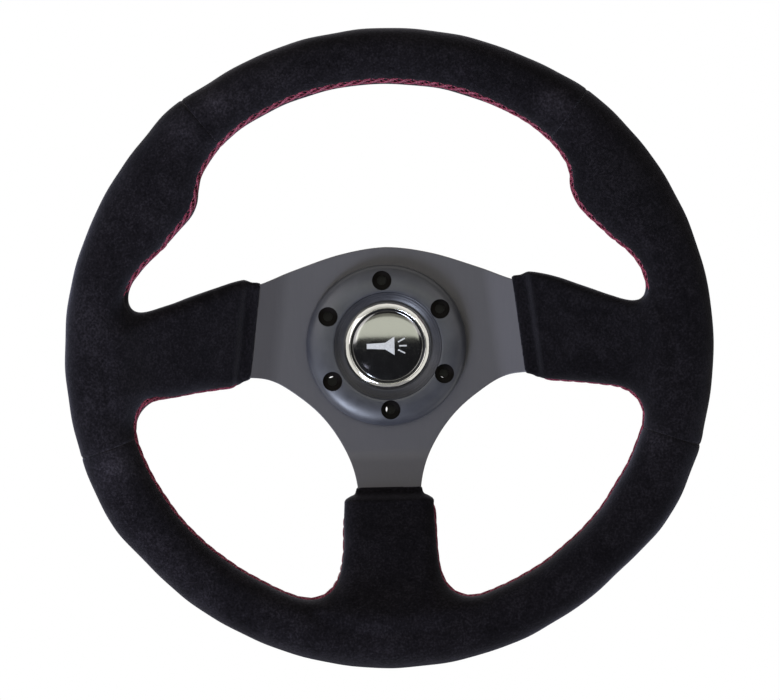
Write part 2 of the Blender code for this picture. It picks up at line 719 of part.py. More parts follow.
def button_cap():
    """The pressed cap: a coved bezel, a floor for the dome, a skirt and a ring-shaped boss."""
    (foot_r, foot_h), (rim_r, rim_h) = CAP_COVE
    cove = []
    for i in range(TURNED_CURVE_STEPS + 1):
        t = i / TURNED_CURVE_STEPS
        cove.append((foot_r + (rim_r - foot_r) * t, foot_h + (rim_h - foot_h) * t**CAP_COVE_POWER))
    profile = [
        (0.0, CAP_FLOOR_H[1]), (foot_r - 0.0002, CAP_FLOOR_H[1]), *cove, *CAP_UNDERCUT,
        (SKIRT_R[1], CAP_UNDERCUT[-1][1] - 0.0002), (SKIRT_R[1], SKIRT_END_H),
        (SKIRT_R[0], SKIRT_END_H), (SKIRT_R[0], CAP_FLOOR_H[0]), (BOSS_R[1], CAP_FLOOR_H[0]),
        (BOSS_R[1], BOSS_END_H), (BOSS_R[0], BOSS_END_H), (BOSS_R[0], CAP_FLOOR_H[0]),
        (0.0, CAP_FLOOR_H[0]),
    ]
    cap = dress(turned("button_cap", profile, 32), SATIN_BLACK, HORN_AXIS)
    for i, degrees in enumerate(SCREW_ANGLES):
        place = polar(SCREW_CIRCLE_R, degrees)
        hole = cylinder(
            f"cut_boss_{i + 1}", SCREW_SHANK_R + GAP, BOSS_END_H - GAP, SCREW_TIP_H + GAP, place, 10
        )
        boolean(cap, as_cutter(hole))


def button_face():
    """The chrome ring, the printed disc and the clear dome on the cap's floor."""
    seat = CAP_FLOOR_H[1] + GAP
    inner, outer = CHROME_RING_R
    middle, half = (inner + outer) / 2, (outer - inner) / 2
    rounded = []
    for i in range(TURNED_CURVE_STEPS + 1):
        angle = math.pi * i / TURNED_CURVE_STEPS
        rounded.append((middle - half * math.cos(angle),
                        CHROME_RING_H + CHROME_RING_RISE * math.sin(angle)))
    chrome = [*rounded, (outer - GAP, seat), (inner, seat)]
    dress(turned("button_chrome_ring", chrome, 32), CHROME, HORN_AXIS)
    disc_top = seat + EMBLEM_THICKNESS
    disc = [(0.0, disc_top), (DOME_R, disc_top), (DOME_R, seat), (0.0, seat)]
    dress(turned("button_emblem", disc, 32), GLOSS_BLACK, HORN_AXIS)
    dome_base = disc_top + GAP
    dome = []
    for i in range(TURNED_CURVE_STEPS + 1):
        turn = i / TURNED_CURVE_STEPS * math.pi / 2
        dome.append((DOME_R * math.sin(turn), dome_base + DOME_WALL + DOME_RISE * math.cos(turn)))
    dome += [(DOME_R, dome_base), (0.0, dome_base)]
    dress(turned("button_dome", dome, 32), CLEAR_RESIN, HORN_AXIS)


def screws_and_springs():
    head_high = BODY_FLOOR_H[0] - GAP
    head_low = head_high - SCREW_HEAD_HEIGHT
    screw = [
        (0.0, SCREW_TIP_H), (SCREW_SHANK_R, SCREW_TIP_H - SCREW_CHAMFER), (SCREW_SHANK_R, head_high),
        (SCREW_HEAD_R, head_high), (SCREW_HEAD_R, head_low + SCREW_CHAMFER),
        (SCREW_HEAD_R - SCREW_CHAMFER, head_low), (0.0, head_low),
    ]
    low = BODY_FLOOR_H[1] + GAP + SPRING_WIRE_R
    high = BOSS_END_H - GAP - SPRING_WIRE_R
    total = SPRING_TURNS * SPRING_POINTS_PER_TURN
    for i, degrees in enumerate(SCREW_ANGLES):
        place = polar(SCREW_CIRCLE_R, degrees)
        made = dress(turned(f"shoulder_screw_{i + 1}", screw, 12), STEEL, HORN_AXIS)
        made.location = (*place, 0.0)
        curve = bpy.data.curves.new(f"return_spring_{i + 1}", "CURVE")
        curve.dimensions = "3D"
        curve.bevel_depth = SPRING_WIRE_R
        curve.bevel_resolution = 1
        curve.use_fill_caps = True
        spline = curve.splines.new("POLY")
        spline.points.add(total)
        for j, point in enumerate(spline.points):
            x, y = polar(SPRING_COIL_R, 360.0 * j / SPRING_POINTS_PER_TURN)
            point.co = (x, y, low + (high - low) * j / total, 1.0)
        spring = dress(bpy.data.objects.new(f"return_spring_{i + 1}", curve), STEEL, WHEEL_FRAME)
        spring.location = (*place, 0.0)


spoke_plate()
rim_ring()
spoke_rivets()
rim_foam()
covers()
stitching()
horn_ring()
button_body()
contacts_and_terminals()
button_cap()
button_face()
screws_and_springs()
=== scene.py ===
"""The visual model of the sports steering wheel: suede, stitching, plate, horn ring and button.

Shapes are worked out in the wheel's own frame: x to the right, y up and h towards the driver, with
h = 0 on the rear face of the hub, and then stood upright, so that h becomes world -Y.
"""

import math

import bmesh
import bpy
import numpy as np
from mathutils import Matrix, Vector

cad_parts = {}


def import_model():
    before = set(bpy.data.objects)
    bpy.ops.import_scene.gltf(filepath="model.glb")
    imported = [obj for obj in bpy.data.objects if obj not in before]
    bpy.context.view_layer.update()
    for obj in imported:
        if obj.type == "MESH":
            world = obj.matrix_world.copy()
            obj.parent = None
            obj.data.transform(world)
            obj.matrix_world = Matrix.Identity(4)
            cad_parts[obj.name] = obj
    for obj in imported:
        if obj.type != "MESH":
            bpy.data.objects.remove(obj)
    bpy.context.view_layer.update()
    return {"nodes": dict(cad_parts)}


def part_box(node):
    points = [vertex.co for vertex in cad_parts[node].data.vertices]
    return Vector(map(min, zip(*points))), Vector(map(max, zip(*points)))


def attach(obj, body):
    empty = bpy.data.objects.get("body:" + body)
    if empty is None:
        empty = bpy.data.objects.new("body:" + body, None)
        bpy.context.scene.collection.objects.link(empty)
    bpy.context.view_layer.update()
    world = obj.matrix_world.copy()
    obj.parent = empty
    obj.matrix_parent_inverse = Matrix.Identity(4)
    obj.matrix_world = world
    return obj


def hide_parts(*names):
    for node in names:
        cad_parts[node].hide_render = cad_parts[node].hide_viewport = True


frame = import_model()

MM = 0.001

# ---- driving dimensions
plate_low, plate_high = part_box("spoke_plate")
_, ring_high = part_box("horn_ring")
rim_ring_low, rim_ring_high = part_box("rim_ring")

PLATE_THICKNESS = 4.0 * MM
RIM_H = -(rim_ring_low.y + rim_ring_high.y) / 2
DISH = -plate_low.y - PLATE_THICKNESS
RIM_HALF_DEPTH = 16.8 * MM
RIM_SECTION_POWER = 2.2  # a little squarer than an ellipse
FOOT_END_R = plate_high.x
HORN_RING_R = ring_high.x
HUB_BORE_R = 27.5 * MM
BOLT_CIRCLE_R = 35.0 * MM
PLATE_HOLE_R = 2.75 * MM
PLATE_HOLE_TURN, HORN_RING_TURN = -5.6, 2.8  # degrees from upright
SIDE_ARM_ANGLE = 7.4  # degrees above the horizontal
BEND_START, BEND_END = 60 * MM, 145 * MM  # the plate rises between these distances
BEND_EASE = 4 * MM

COVER_THICKNESS = 1.2 * MM
FOAM_DEPTH = 2.0 * MM  # below the covers' outside
NET_STEP = 1.4 * MM
SEAM_ANGLES = (51.3, 128.7, 198.5, 341.5)  # the seams between the panels, in degrees

# The rim's outer radius by angle from the right-hand side, in degrees and mm: flatter at the top,
# with a slight corner where the covers are pulled in at the lower seams.
RIM_OUTER = [
    (0, 175.9), (30, 175.8), (50, 176.1), (60, 174.3), (78, 173.0), (100, 172.8), (122, 173.0),
    (132, 175.0), (142, 174.0), (165, 174.8), (190, 175.6), (203, 176.9), (212, 177.8), (221, 175.6),
    (250, 173.9), (290, 173.8), (316, 174.5), (327, 177.7), (338, 176.8), (350, 176.0),
]
# The inner radius: thumb grips above the side arms, each moulded by hand and so not quite alike.
RIM_INNER = [
    (0, 144.0), (10, 143.6), (16, 143.3), (20, 140.4), (24, 135.9), (28, 132.0), (32, 129.4),
    (36, 128.4), (40, 130.6), (43, 136.0), (46, 139.3), (52, 141.8), (62, 142.6), (90, 142.6),
    (118, 142.8), (126, 141.9), (132, 139.8), (136, 137.4), (139, 133.4), (142, 129.6), (146, 128.4),
    (152, 130.9), (157, 135.3), (162, 140.6), (167, 143.6), (180, 144.2), (196, 144.8), (210, 145.2),
    (225, 144.7), (248, 143.8), (270, 143.6), (292, 143.2), (315, 144.0), (340, 144.0),
]

# Edges of a side arm's cover, upper and lower, and the line of its open end, (x, y) in mm.
SIDE_TOP = [
    (60, 38.4), (68, 37.4), (73, 37.5), (76.5, 38.9), (79, 39.2), (86, 37.9), (96, 35.0),
    (106, 31.3), (117, 27.3), (127, 23.8), (140, 19.0), (165, 10.0),
]
SIDE_BOTTOM = [
    (60, -16.2), (74, -16.9), (79, -17.8), (83, -19.8), (92, -20.8), (108, -22.9), (126, -25.0),
    (140, -26.6), (165, -29.0),
]
SIDE_END = ((67.9, 37.7), (74.5, -17.0))
# Half width of the lower arm's cover by distance below the hub, and its open end, in mm.
LOWER_WIDTH = [
    (60, 18.6), (76, 18.9), (80.4, 19.3), (82.2, 22.4), (84.2, 24.9), (88, 25.2), (108, 25.8),
    (118, 26.9), (130, 28.6), (165, 34.0),
]
LOWER_END = 76.6
LOWER_SHIFT, LOWER_SLIM = (-0.9, -1.6), 0.6  # mm: it leans a little to the left
# mm by which the left arm's cover sags along its top: all along, in a dip, and less by the rim.
LEFT_SAG, LEFT_DIP, LEFT_RISE = 1.4, 0.9, 0.4
# mm by which the right one's top sags and the lower edges rise, the right one more by the rim.
RIGHT_SAG, LEFT_LOW, RIGHT_LOW, RIGHT_LOW_RIM = 0.2, -0.4, 0.4, 0.8
END_CORNER = 3 * MM  # rounding of the corners of the open ends
SIDE_COLLAR, LOWER_COLLAR = 6.8 * MM, 3.4 * MM  # width of the collars at the open ends
COLLAR_HALF, PAD_STEP, PAD_SWELL = 3.4 * MM, 4.8 * MM, 4.2 * MM  # half thickness, part by part
PAD_CROWN = 0.10  # part by which a pad is thinner at its edges
EDGE_SHARE, EDGE_MOST = 0.85, 8 * MM  # rounding of a pad's edges: part of its half, and at most
ARM_LIFT = 4.3 * MM  # the arms' covers rise above the plate to meet the rim's middle
INSIDE_RIM = 100 * MM  # the seams between panels lie further out, the open ends further in
ARM_END_R = 156 * MM  # the arms' covers end inside the rim
# How softly the arms blend into the rim: outside it, and more inside it, least at an arm's top.
OUTER_BLEND, SIDE_WEB, CROWN_WEB, LOWER_WEB = 2 * MM, 19 * MM, 3 * MM, 24 * MM


# ---- small helpers
def world(points):
    """Wheel frame to world, for an array of points."""
    return np.asarray(points, float)[..., [0, 2, 1]] * (1, -1, 1)


def smooth_run(padded, steps):
    """Points of the smooth curve from the second of some points to the last but one."""
    t = np.linspace(0, 1, steps, endpoint=False)[:, None]
    return np.concatenate([
        0.5 * (2 * p1 + (p2 - p0) * t + (2 * p0 - 5 * p1 + 4 * p2 - p3) * t**2
               + (3 * p1 - p0 - 3 * p2 + p3) * t**3)
        for p0, p1, p2, p3 in zip(padded, padded[1:], padded[2:], padded[3:])
    ])


def smooth_curve(table, count=400, period=None):
    """A smooth function through the points of a table in mm; it gives metres."""
    points = np.array(table, float)
    if period:
        head, tail = points[-3:] - (period, 0), points[:3] + (period, 0)
        points = np.concatenate([head, points, tail])
    padded = np.concatenate([2 * points[:1] - points[1:2], points, 2 * points[-1:] - points[-2:-1]])
    run = smooth_run(padded, max(4, count // len(points)))
    run = run[np.argsort(run[:, 0])]
    return lambda at: np.interp(at, run[:, 0], run[:, 1]) * MM


rim_outer, rim_inner = (smooth_curve(table, 1200, 360) for table in (RIM_OUTER, RIM_INNER))
side_top, side_bottom, lower_width = map(smooth_curve, (SIDE_TOP, SIDE_BOTTOM, LOWER_WIDTH))


def smoothstep(low, high, value):
    """0 at or before low, 1 at or past high, and smooth between; low may be the greater."""
    t = np.clip((value - low) / (high - low), 0, 1)
    return t * t * (3 - 2 * t)


def smooth_min(a, b, k):
    """The lesser of two values, with the corner where they meet rounded over k."""
    t = np.clip(k - np.abs(a - b), 0, None)
    return np.minimum(a, b) - t * t / (4 * k)


def bell(value, middle, width):
    """1 in the middle, falling smoothly to 0 at both sides."""
    return np.exp(-(((value - middle) / width) ** 2))


def unit(vectors):
    return vectors / np.maximum(np.linalg.norm(vectors, axis=1), 1e-6)[:, None]


def heading(degrees):
    """Cosine and sine of an angle."""
    return math.cos(math.radians(degrees)), math.sin(math.radians(degrees))


def linked(name, data):
    """An object that is linked to the scene."""
    obj = bpy.data.objects.new(name, data)
    bpy.context.scene.collection.objects.link(obj)
    return obj


def add_object(name, mesh, body="wheel", finish=None, replaces=()):
    """A piece of the visual model, with its body, finish and replaced nodes."""
    obj = linked(name, mesh)
    if finish:
        obj.data.materials.clear()
        obj.data.materials.append(finish)
    if replaces:
        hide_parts(*replaces)
    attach(obj, body)
    return obj


def mesh_from(name, points, faces):
    """A smooth mesh from wheel-frame points, seen in the world frame."""
    mesh = bpy.data.meshes.new(name)
    mesh.from_pydata(world(points).tolist(), [], [list(map(int, face)) for face in faces])
    mesh.update()
    mesh.shade_smooth()
    return mesh


def mesh_of(name, bm):
    """A mesh from a bmesh, which is freed."""
    mesh = bpy.data.meshes.new(name)
    bm.to_mesh(mesh)
    bm.free()
    return mesh


def baked(obj):
    """An object's mesh with its modifiers applied; the object is removed."""
    bpy.context.view_layer.update()
    graph = bpy.context.evaluated_depsgraph_get()
    mesh = bpy.data.meshes.new_from_object(obj.evaluated_get(graph))
    bpy.data.objects.remove(obj)
    return mesh


# ---- materials
def fill(node, inputs):
    """Sets or links a node's inputs, by name or number."""
    for key, value in inputs.items():
        if isinstance(value, bpy.types.NodeSocket):
            node.id_data.links.new(value, node.inputs[key])
        else:
            node.inputs[key].default_value = value


def add_node(tree, kind, output, inputs, operation=None):
    """A new node with its inputs filled; gives an output."""
    node = tree.nodes.new("ShaderNode" + kind)
    if operation:
        node.operation = operation
    fill(node, inputs)
    return node.outputs[output]


class Nodes:
    """A short way to write a material's nodes."""

    def __init__(self, name):
        self.material = bpy.data.materials.new(name)
        self.material.use_nodes = True
        self.tree = self.material.node_tree
        self.coords = self.add("TexCoord", "Object", {})

    def add(self, *description):
        return add_node(self.tree, *description)

    def set(self, **values):
        """Fills inputs of the material's shader."""
        inputs = {key.replace("_", " "): value for key, value in values.items()}
        fill(self.tree.nodes["Principled BSDF"], inputs)

    def noise(self, scale, detail=2.0, roughness=0.5, coords=None, distortion=0.0):
        return self.add("TexNoise", "Fac", {
            "Vector": coords or self.coords, "Scale": scale, "Detail": detail,
            "Roughness": roughness, "Distortion": distortion,
        })

    def stretched(self, scale):
        return self.add("Mapping", "Vector", {"Vector": self.coords, "Scale": scale})

    def ramp(self, value, stops):
        """Colours by value, from (position, colour) stops."""
        node = self.tree.nodes.new("ShaderNodeValToRGB")
        elements = node.color_ramp.elements
        while len(elements) < len(stops):
            elements.new(0.5)
        for element, (position, colour) in zip(elements, stops):
            element.position = position
            element.color = (*colour, 1.0)
        self.tree.links.new(value, node.inputs["Fac"])
        return node.outputs["Color"]

    def levels(self, value, low, high, out_low, out_high):
        return self.add("MapRange", "Result", {
            "Value": value, "From Min": low, "From Max": high, "To Min": out_low, "To Max": out_high,
        })

    def math(self, operation, a, b):
        return self.add("Math", "Value", {0: a, 1: b}, operation)

    def along(self, axis):
        """A coordinate of the surface, in metres."""
        return self.add("SeparateXYZ", axis, {"Vector": self.coords})

    def radius(self):
        """Distance from the wheel's axis."""
        flat = self.add("VectorMath", "Vector", {0: self.coords, 1: (1, 0, 1)}, "MULTIPLY")
        return self.add("VectorMath", "Value", {0: flat}, "LENGTH")

    def distance(self, place):
        """Distance from a place in the world."""
        return self.add("VectorMath", "Value", {0: self.coords, 1: place}, "DISTANCE")

    def scaled(self, colour, factor):
        """A colour times a factor."""
        return self.add("VectorMath", "Vector", {0: colour, "Scale": factor}, "SCALE")

    def bump(self, heights):
        """Chains bumps given as (height output, distance in metres, strength)."""
        chain = {}
        for height, distance, strength in heights:
            inputs = {"Height": height, "Distance": distance, "Strength": strength, **chain}
            chain = {"Normal": self.add("Bump", "Normal", inputs)}
        self.set(**chain)


# Pressed patches of suede by the seams, made paler as a painted highlight of their shine: angle in
# degrees, radius in mm and gain.
PRESSED_SHEEN_PATCHES = [
    (132.8, 163, 2.0), (125.0, 164, 2.0), (55.4, 160, 1.9), (48.6, 160, 1.5), (201.8, 162, 1.8),
    (340.3, 149, 1.9),
]


def suede():
    """Napped suede: near black, with brushed patches, a fine nap and a soft sheen; painted shade
    darkens it to the right and inwards, and painted highlights pale it by the seams.
    """
    m = Nodes("suede")
    patches = m.noise(26.0, 4.0, 0.6, distortion=0.6)
    brushed = m.noise(120.0, 5.0, 0.65, distortion=1.2)
    nap = m.noise(800.0, 3.0, 0.65)
    fibres = m.noise(2600.0, 2.0, 0.7)
    mixed = m.math("MULTIPLY", patches, 0.22)
    mixed = m.math("ADD", mixed, m.math("MULTIPLY", brushed, 0.26))
    mixed = m.math("ADD", mixed, m.math("MULTIPLY", nap, 0.52))
    colour = m.ramp(mixed, [
        (0.36, (0.0027, 0.0024, 0.0030)), (0.50, (0.0095, 0.0083, 0.0105)),
        (0.63, (0.0250, 0.0220, 0.0275)),
    ])
    # Painted shade, partly the nap's own lie: the suede is darker towards the right-hand side and
    # inwards, on the arms.
    shade_and_sheen_gain = m.math("MULTIPLY", m.levels(m.along("X"), -0.06, 0.09, 1.0, 0.70),
                 m.levels(m.radius(), 0.105, 0.145, 0.78, 1.0))
    # Painted highlights: the pressed patches by the seams are made paler, for their shine.
    for degrees, radius, gain in PRESSED_SHEEN_PATCHES:
        x, z = (radius * MM * part for part in heading(degrees))
        near = m.distance((x, -RIM_H - RIM_HALF_DEPTH, z))
        shade_and_sheen_gain = m.math("MULTIPLY", shade_and_sheen_gain, m.levels(near, 0.003, 0.013, gain, 1.0))
    m.set(Base_Color=m.scaled(colour, shade_and_sheen_gain), Roughness=m.levels(patches, 0.3, 0.7, 0.98, 0.86),
          Specular_IOR_Level=0.3, IOR=1.15, Sheen_Weight=0.24, Sheen_Roughness=0.45,
          Sheen_Tint=(0.75, 0.72, 0.85, 1.0))
    m.bump([(patches, 0.0006, 0.25), (brushed, 0.0005, 0.35), (nap, 0.0003, 0.6),
            (fibres, 0.00012, 0.6)])
    return m.material


def thread_finish():
    """Waxed red thread, with the twist of its plies."""
    m = Nodes("red_thread")
    plies = m.noise(1500.0, 2.0, 0.6)
    colour = m.ramp(plies, [
        (0.33, (0.085, 0.005, 0.013)), (0.5, (0.200, 0.020, 0.054)), (0.70, (0.50, 0.105, 0.170)),
    ])
    m.set(Base_Color=colour, Roughness=0.45, Specular_IOR_Level=0.35)
    m.bump([(plies, 0.00015, 0.7)])
    return m.material


def anodised():
    """Bead-blasted dark grey anodising with a faint vertical grain, and painted shade under the horn
    ring.
    """
    m = Nodes("anodised_plate")
    blast = m.noise(2200.0, 2.0, 0.6)
    grain = m.noise(60.0, 3.0, 0.6, coords=m.stretched((14.0, 14.0, 1.0)))
    clouds = m.noise(14.0, 3.0, 0.5)
    mixed = m.math("ADD", m.math("MULTIPLY", grain, 0.35), m.math("MULTIPLY", clouds, 0.65))
    colour = m.ramp(mixed, [(0.35, (0.094, 0.090, 0.100)), (0.65, (0.105, 0.101, 0.112))])
    # Painted shade: under the horn ring the plate's front is darkened, for the shadow seen down the
    # bolt holes.
    outside = m.math("GREATER_THAN", m.radius(), HORN_RING_R - 1.5 * MM)
    behind = m.math("GREATER_THAN", m.along("Y"), 0.5 * MM - PLATE_THICKNESS)
    ring_painted_shade = m.math("MAXIMUM", m.math("MAXIMUM", outside, behind), 0.12)
    m.set(Base_Color=m.scaled(colour, ring_painted_shade), Roughness=m.levels(blast, 0.3, 0.7, 0.42, 0.56),
          Metallic=0.35, Specular_IOR_Level=0.5)
    m.bump([(blast, 0.00006, 0.5)])
    return m.material


def satin_black(name, dark, light, roughness=0.38, specular=0.7):
    """Satin black with a fine orange peel and a little dust."""
    m = Nodes(name)
    peel = m.noise(420.0, 2.0, 0.5)
    fine = m.noise(2400.0, 2.0, 0.6)
    dust = m.noise(90.0, 4.0, 0.65)
    colour = m.ramp(dust, [(0.35, dark), (0.7, light)])
    gloss = m.levels(dust, 0.3, 0.75, roughness - 0.04, roughness + 0.08)
    m.set(Base_Color=colour, Roughness=gloss, Metallic=0.0, Specular_IOR_Level=specular)
    m.bump([(peel, 0.00005, 0.3), (fine, 0.00004, 0.4)])
    return m.material


def metal(name, colour, roughness):
    """Bare or plated metal with fine scratches."""
    m = Nodes(name)
    scratches = m.noise(300.0, 3.0, 0.6, coords=m.stretched((1.0, 6.0, 1.0)))
    tint = m.ramp(scratches, [(0.3, tuple(0.85 * c for c in colour)), (0.7, colour)])
    gloss = m.levels(scratches, 0.3, 0.7, roughness * 0.8, roughness * 1.3)
    m.set(Base_Color=tint, Roughness=gloss, Metallic=1.0)
    m.bump([(scratches, 0.00003, 0.2)])
    return m.material


def dome_finish():
    """Black print under clear resin, seen as one deep gloss."""
    m = Nodes("dome_resin")
    haze = m.noise(220.0, 3.0, 0.6)
    m.set(Base_Color=m.ramp(haze, [(0.3, (0.004, 0.004, 0.005)), (0.8, (0.009, 0.009, 0.010))]),
          Roughness=m.levels(haze, 0.3, 0.8, 0.09, 0.13), Specular_IOR_Level=1.0, IOR=2.1)
    return m.material


def speckled(name, scale, dark, light, roughness, grain=0.5, depth=0.0):
    """A plain grey finish with a speckle, which may have depth."""
    m = Nodes(name)
    speck = m.noise(scale, 2.0, grain)
    m.set(Base_Color=m.ramp(speck, [(0.3, (dark,) * 3), (0.7, (light,) * 3)]), Roughness=roughness)
    if depth:
        m.bump([(speck, depth, 0.6)])
    return m.material


SUEDE = suede()
THREAD = thread_finish()
ANODISED = anodised()
RING_BLACK = satin_black("satin_black_ring", (0.044, 0.045, 0.055), (0.061, 0.062, 0.074))
# Painted shade: near-black walls and floors for the bolt bores, for the shade down in them.
BORE_PAINTED_SHADE = satin_black("painted_shade_bores", (0.0045, 0.0035, 0.0035), (0.012, 0.008, 0.008),
                         0.55, 0.15)
CAP_BLACK = satin_black("satin_black_cap", (0.028, 0.028, 0.034), (0.044, 0.044, 0.052),
                        0.34, 0.4)
CHROME = metal("chrome", (0.93, 0.92, 0.90), 0.05)
STEEL = metal("zinc_steel", (0.55, 0.55, 0.56), 0.3)
BRASS = metal("brass", (0.78, 0.58, 0.26), 0.28)
DOME = dome_finish()
WHITE_PRINT = speckled("white_print", 1500.0, 0.62, 0.78, 0.25)
FOAM = speckled("foam", 1600.0, 0.02, 0.05, 0.95, grain=0.6, depth=0.0002)
PALE_FLOOR = speckled("pale_floor", 3.0, 0.80, 0.84, 0.8)


# ---- the padded skin as a field
def dish_at(x, y):
    """How far the plate's middle has risen towards the driver at a point."""
    arm_x, arm_y = heading(SIDE_ARM_ANGLE)
    reach = np.maximum(np.abs(x) * arm_x + y * arm_y, -y)

    def past(bend):
        """How far the reach has gone past a bend, eased over the bend's own length."""
        eased = np.clip(reach - (bend - BEND_EASE), 0, 2 * BEND_EASE) ** 2 / (4 * BEND_EASE)
        return eased + np.clip(reach - (bend + BEND_EASE), 0, None)

    return DISH / (BEND_END - BEND_START) * (past(BEND_START) - past(BEND_END))


def rim_edges(angle):
    """Inner and outer radius of the rim at an angle in degrees."""
    return rim_inner(np.mod(angle, 360)), rim_outer(np.mod(angle, 360))


def rim_field(x, y, h):
    """Distance to the rim's surface: an oval section between the two radii, below zero inside."""
    inner, outer = rim_edges(np.degrees(np.arctan2(y, x)))
    across = np.hypot(x, y) - (inner + outer) / 2
    along = h - RIM_H
    half = (outer - inner) / 2
    power = RIM_SECTION_POWER
    reach = (np.abs(across / half) ** power + np.abs(along / RIM_HALF_DEPTH) ** power) ** (1 / power)
    reach = np.maximum(reach, 1e-4)
    return np.hypot(across, along) * (reach - 1) / reach


def slab_field(plan, height, half, radius):
    """A rounded slab from its distance in plan and its height above the middle."""
    a, b = plan + radius, height - half + radius
    return np.hypot(np.maximum(a, 0), np.maximum(b, 0)) + np.minimum(np.maximum(a, b), 0) - radius


def pad_half(run, collar_width):
    """Half thickness of an arm's cover by distance from its open end: collar, step, pad."""
    step = smoothstep(collar_width, collar_width + 4.5 * MM, run)
    swell = smoothstep(collar_width + 2 * MM, collar_width + 28 * MM, run)
    fold = 0.35 * MM * bell(run, 0.75 * collar_width, 0.8 * MM)
    return COLLAR_HALF - fold + step * PAD_STEP + swell * PAD_SWELL


def arm_field(plan, run, crown, collar_width, x, y, h):
    """Field of an arm's cover from its outline, its distance from the open end and its crown."""
    lift = ARM_LIFT * smoothstep(105 * MM, 150 * MM, np.hypot(x, y))
    middle = PLATE_THICKNESS / 2 + dish_at(x, y) + lift
    half = pad_half(run, collar_width) * (1 - PAD_CROWN * crown**2)
    edge = np.minimum(half * EDGE_SHARE, EDGE_MOST)
    return slab_field(plan, np.abs(h - middle), half, edge)


def side_arm_field(x, y, h):
    """Field of the two side arms' covers, and how near each point is to their upper edge."""
    ax = np.abs(x)
    top, bottom = side_top(ax / MM), side_bottom(ax / MM)
    # The left arm's cover sits a little lower along its top, the right one a little higher below.
    sag = LEFT_SAG + LEFT_DIP * bell(ax / MM, 95, 14) - LEFT_RISE * smoothstep(110, 135, ax / MM)
    rise = RIGHT_LOW + RIGHT_LOW_RIM * smoothstep(85, 115, ax / MM)
    top = top - np.where(x < 0, sag, RIGHT_SAG) * MM
    bottom = bottom + np.where(x > 0, rise, LEFT_LOW) * MM
    (ex, ey), (fx, fy) = SIDE_END
    length = math.hypot(ex - fx, ey - fy)
    run = ((ax - ex * MM) * (ey - fy) + (y - ey * MM) * (fx - ex)) / length
    crown = np.clip((2 * y - top - bottom) / (top - bottom), -1, 1)
    plan = -smooth_min(-np.maximum(y - top, bottom - y), run, END_CORNER)
    plan = np.maximum(plan, np.hypot(x, y) - ARM_END_R)
    return arm_field(plan, run, crown, SIDE_COLLAR, x, y, h), crown


def lower_arm_field(x, y, h):
    """Field of the lower arm's cover."""
    width = lower_width(-y / MM) - LOWER_SLIM * MM
    run = -y - LOWER_END * MM
    start, end = LOWER_SHIFT
    middle = (start + (end - start) * smoothstep(90 * MM, 135 * MM, -y)) * MM
    crown = np.clip((x - middle) / width, -1, 1)
    plan = -smooth_min(width - np.abs(x - middle), run, END_CORNER)
    plan = np.maximum(plan, np.hypot(x, y) - ARM_END_R)
    return arm_field(plan, run, crown, LOWER_COLLAR, x, y, h)


def hand_sewn(x, y, h):
    """The slight unevenness of a cover stretched by hand: two slow waves, in metres."""
    a = np.sin(x * 210 + 1.3) * np.sin(y * 190 + 0.4) * np.sin(h * 160 + 2.0)
    b = np.sin(x * 90 + y * 130 + 0.7) * np.sin(y * 80 - x * 60 + h * 150)
    return 0.00016 * a + 0.00022 * b


def skin_field(x, y, h):
    """The whole skin, below zero inside; the rim and the arms blend softly inside the rim."""
    rim = rim_field(x, y, h)
    side, crown = side_arm_field(x, y, h)
    lower = lower_arm_field(x, y, h)
    inner, _ = rim_edges(np.degrees(np.arctan2(y, x)))
    web = 1 - smoothstep(0, 15 * MM, np.hypot(x, y) - inner)
    skin = smooth_min(rim, side, OUTER_BLEND + (SIDE_WEB - CROWN_WEB * crown) * web)
    skin = smooth_min(skin, lower, OUTER_BLEND + LOWER_WEB * web)
    return skin + hand_sewn(x, y, h)


def field_at(points):
    return skin_field(*points.T)


def gradient_at(points, step=0.2 * MM):
    parts = [field_at(points + shift) - field_at(points - shift) for shift in step * np.eye(3)]
    return np.stack(parts, -1) / (2 * step)


def onto_skin(points, rounds=3):
    """Points moved onto the skin along the field's gradient."""
    for _ in range(rounds):
        gradient = gradient_at(points)
        size = np.maximum((gradient**2).sum(-1), 0.05)
        points = points - (np.clip(field_at(points), -2 * MM, 2 * MM) / size)[:, None] * gradient
    return points


def surface_net(field, origin, step):
    """Points and quads of a sampled field's zero surface: one point in each crossed cell."""
    keys, spots, loops = [], [], []
    shape = np.array(field.shape)
    strides = np.array([shape[1] * shape[2], shape[2], 1])
    for axis in range(3):
        b, c = (axis + 1) % 3, (axis + 2) % 3
        f0, f1 = field.take(range(shape[axis] - 1), axis), field.take(range(1, shape[axis]), axis)
        crossed = (f0 < 0) != (f1 < 0)
        index = np.argwhere(crossed)
        a0, a1 = f0[crossed], f1[crossed]
        spot = index.astype(float)
        spot[:, axis] += a0 / (a0 - a1)
        base = index @ strides
        around = [base, base - strides[b], base - strides[b] - strides[c], base - strides[c]]
        keys += around
        spots += [spot] * 4
        loop = np.stack(around, -1)
        loop[a0 >= 0] = loop[a0 >= 0][:, ::-1]
        loops.append(loop)
    keys, spots, loops = np.concatenate(keys), np.concatenate(spots), np.concatenate(loops)
    cells, inverse = np.unique(keys, return_inverse=True)
    count = np.bincount(inverse)
    points = np.stack([np.bincount(inverse, spots[:, i]) / count for i in range(3)], -1)
    return points * step + origin, np.searchsorted(cells, loops)


def relaxed(points, quads, rounds=2):
    """Evens the spacing of the net by sliding points towards their neighbours, on the skin."""
    edges = np.concatenate([quads[:, [i, (i + 1) % 4]] for i in range(4)])
    here, there = edges.T
    count = np.bincount(here, minlength=len(points)) + 1e-9
    for _ in range(rounds):
        sums = [np.bincount(here, points[there, axis], len(points)) for axis in range(3)]
        middle = np.stack(sums, -1) / count[:, None]
        normal = unit(gradient_at(points))
        slide = middle - points
        slide -= (slide * normal).sum(-1)[:, None] * normal
        points = onto_skin(points + 0.7 * slide, 1)
    return points


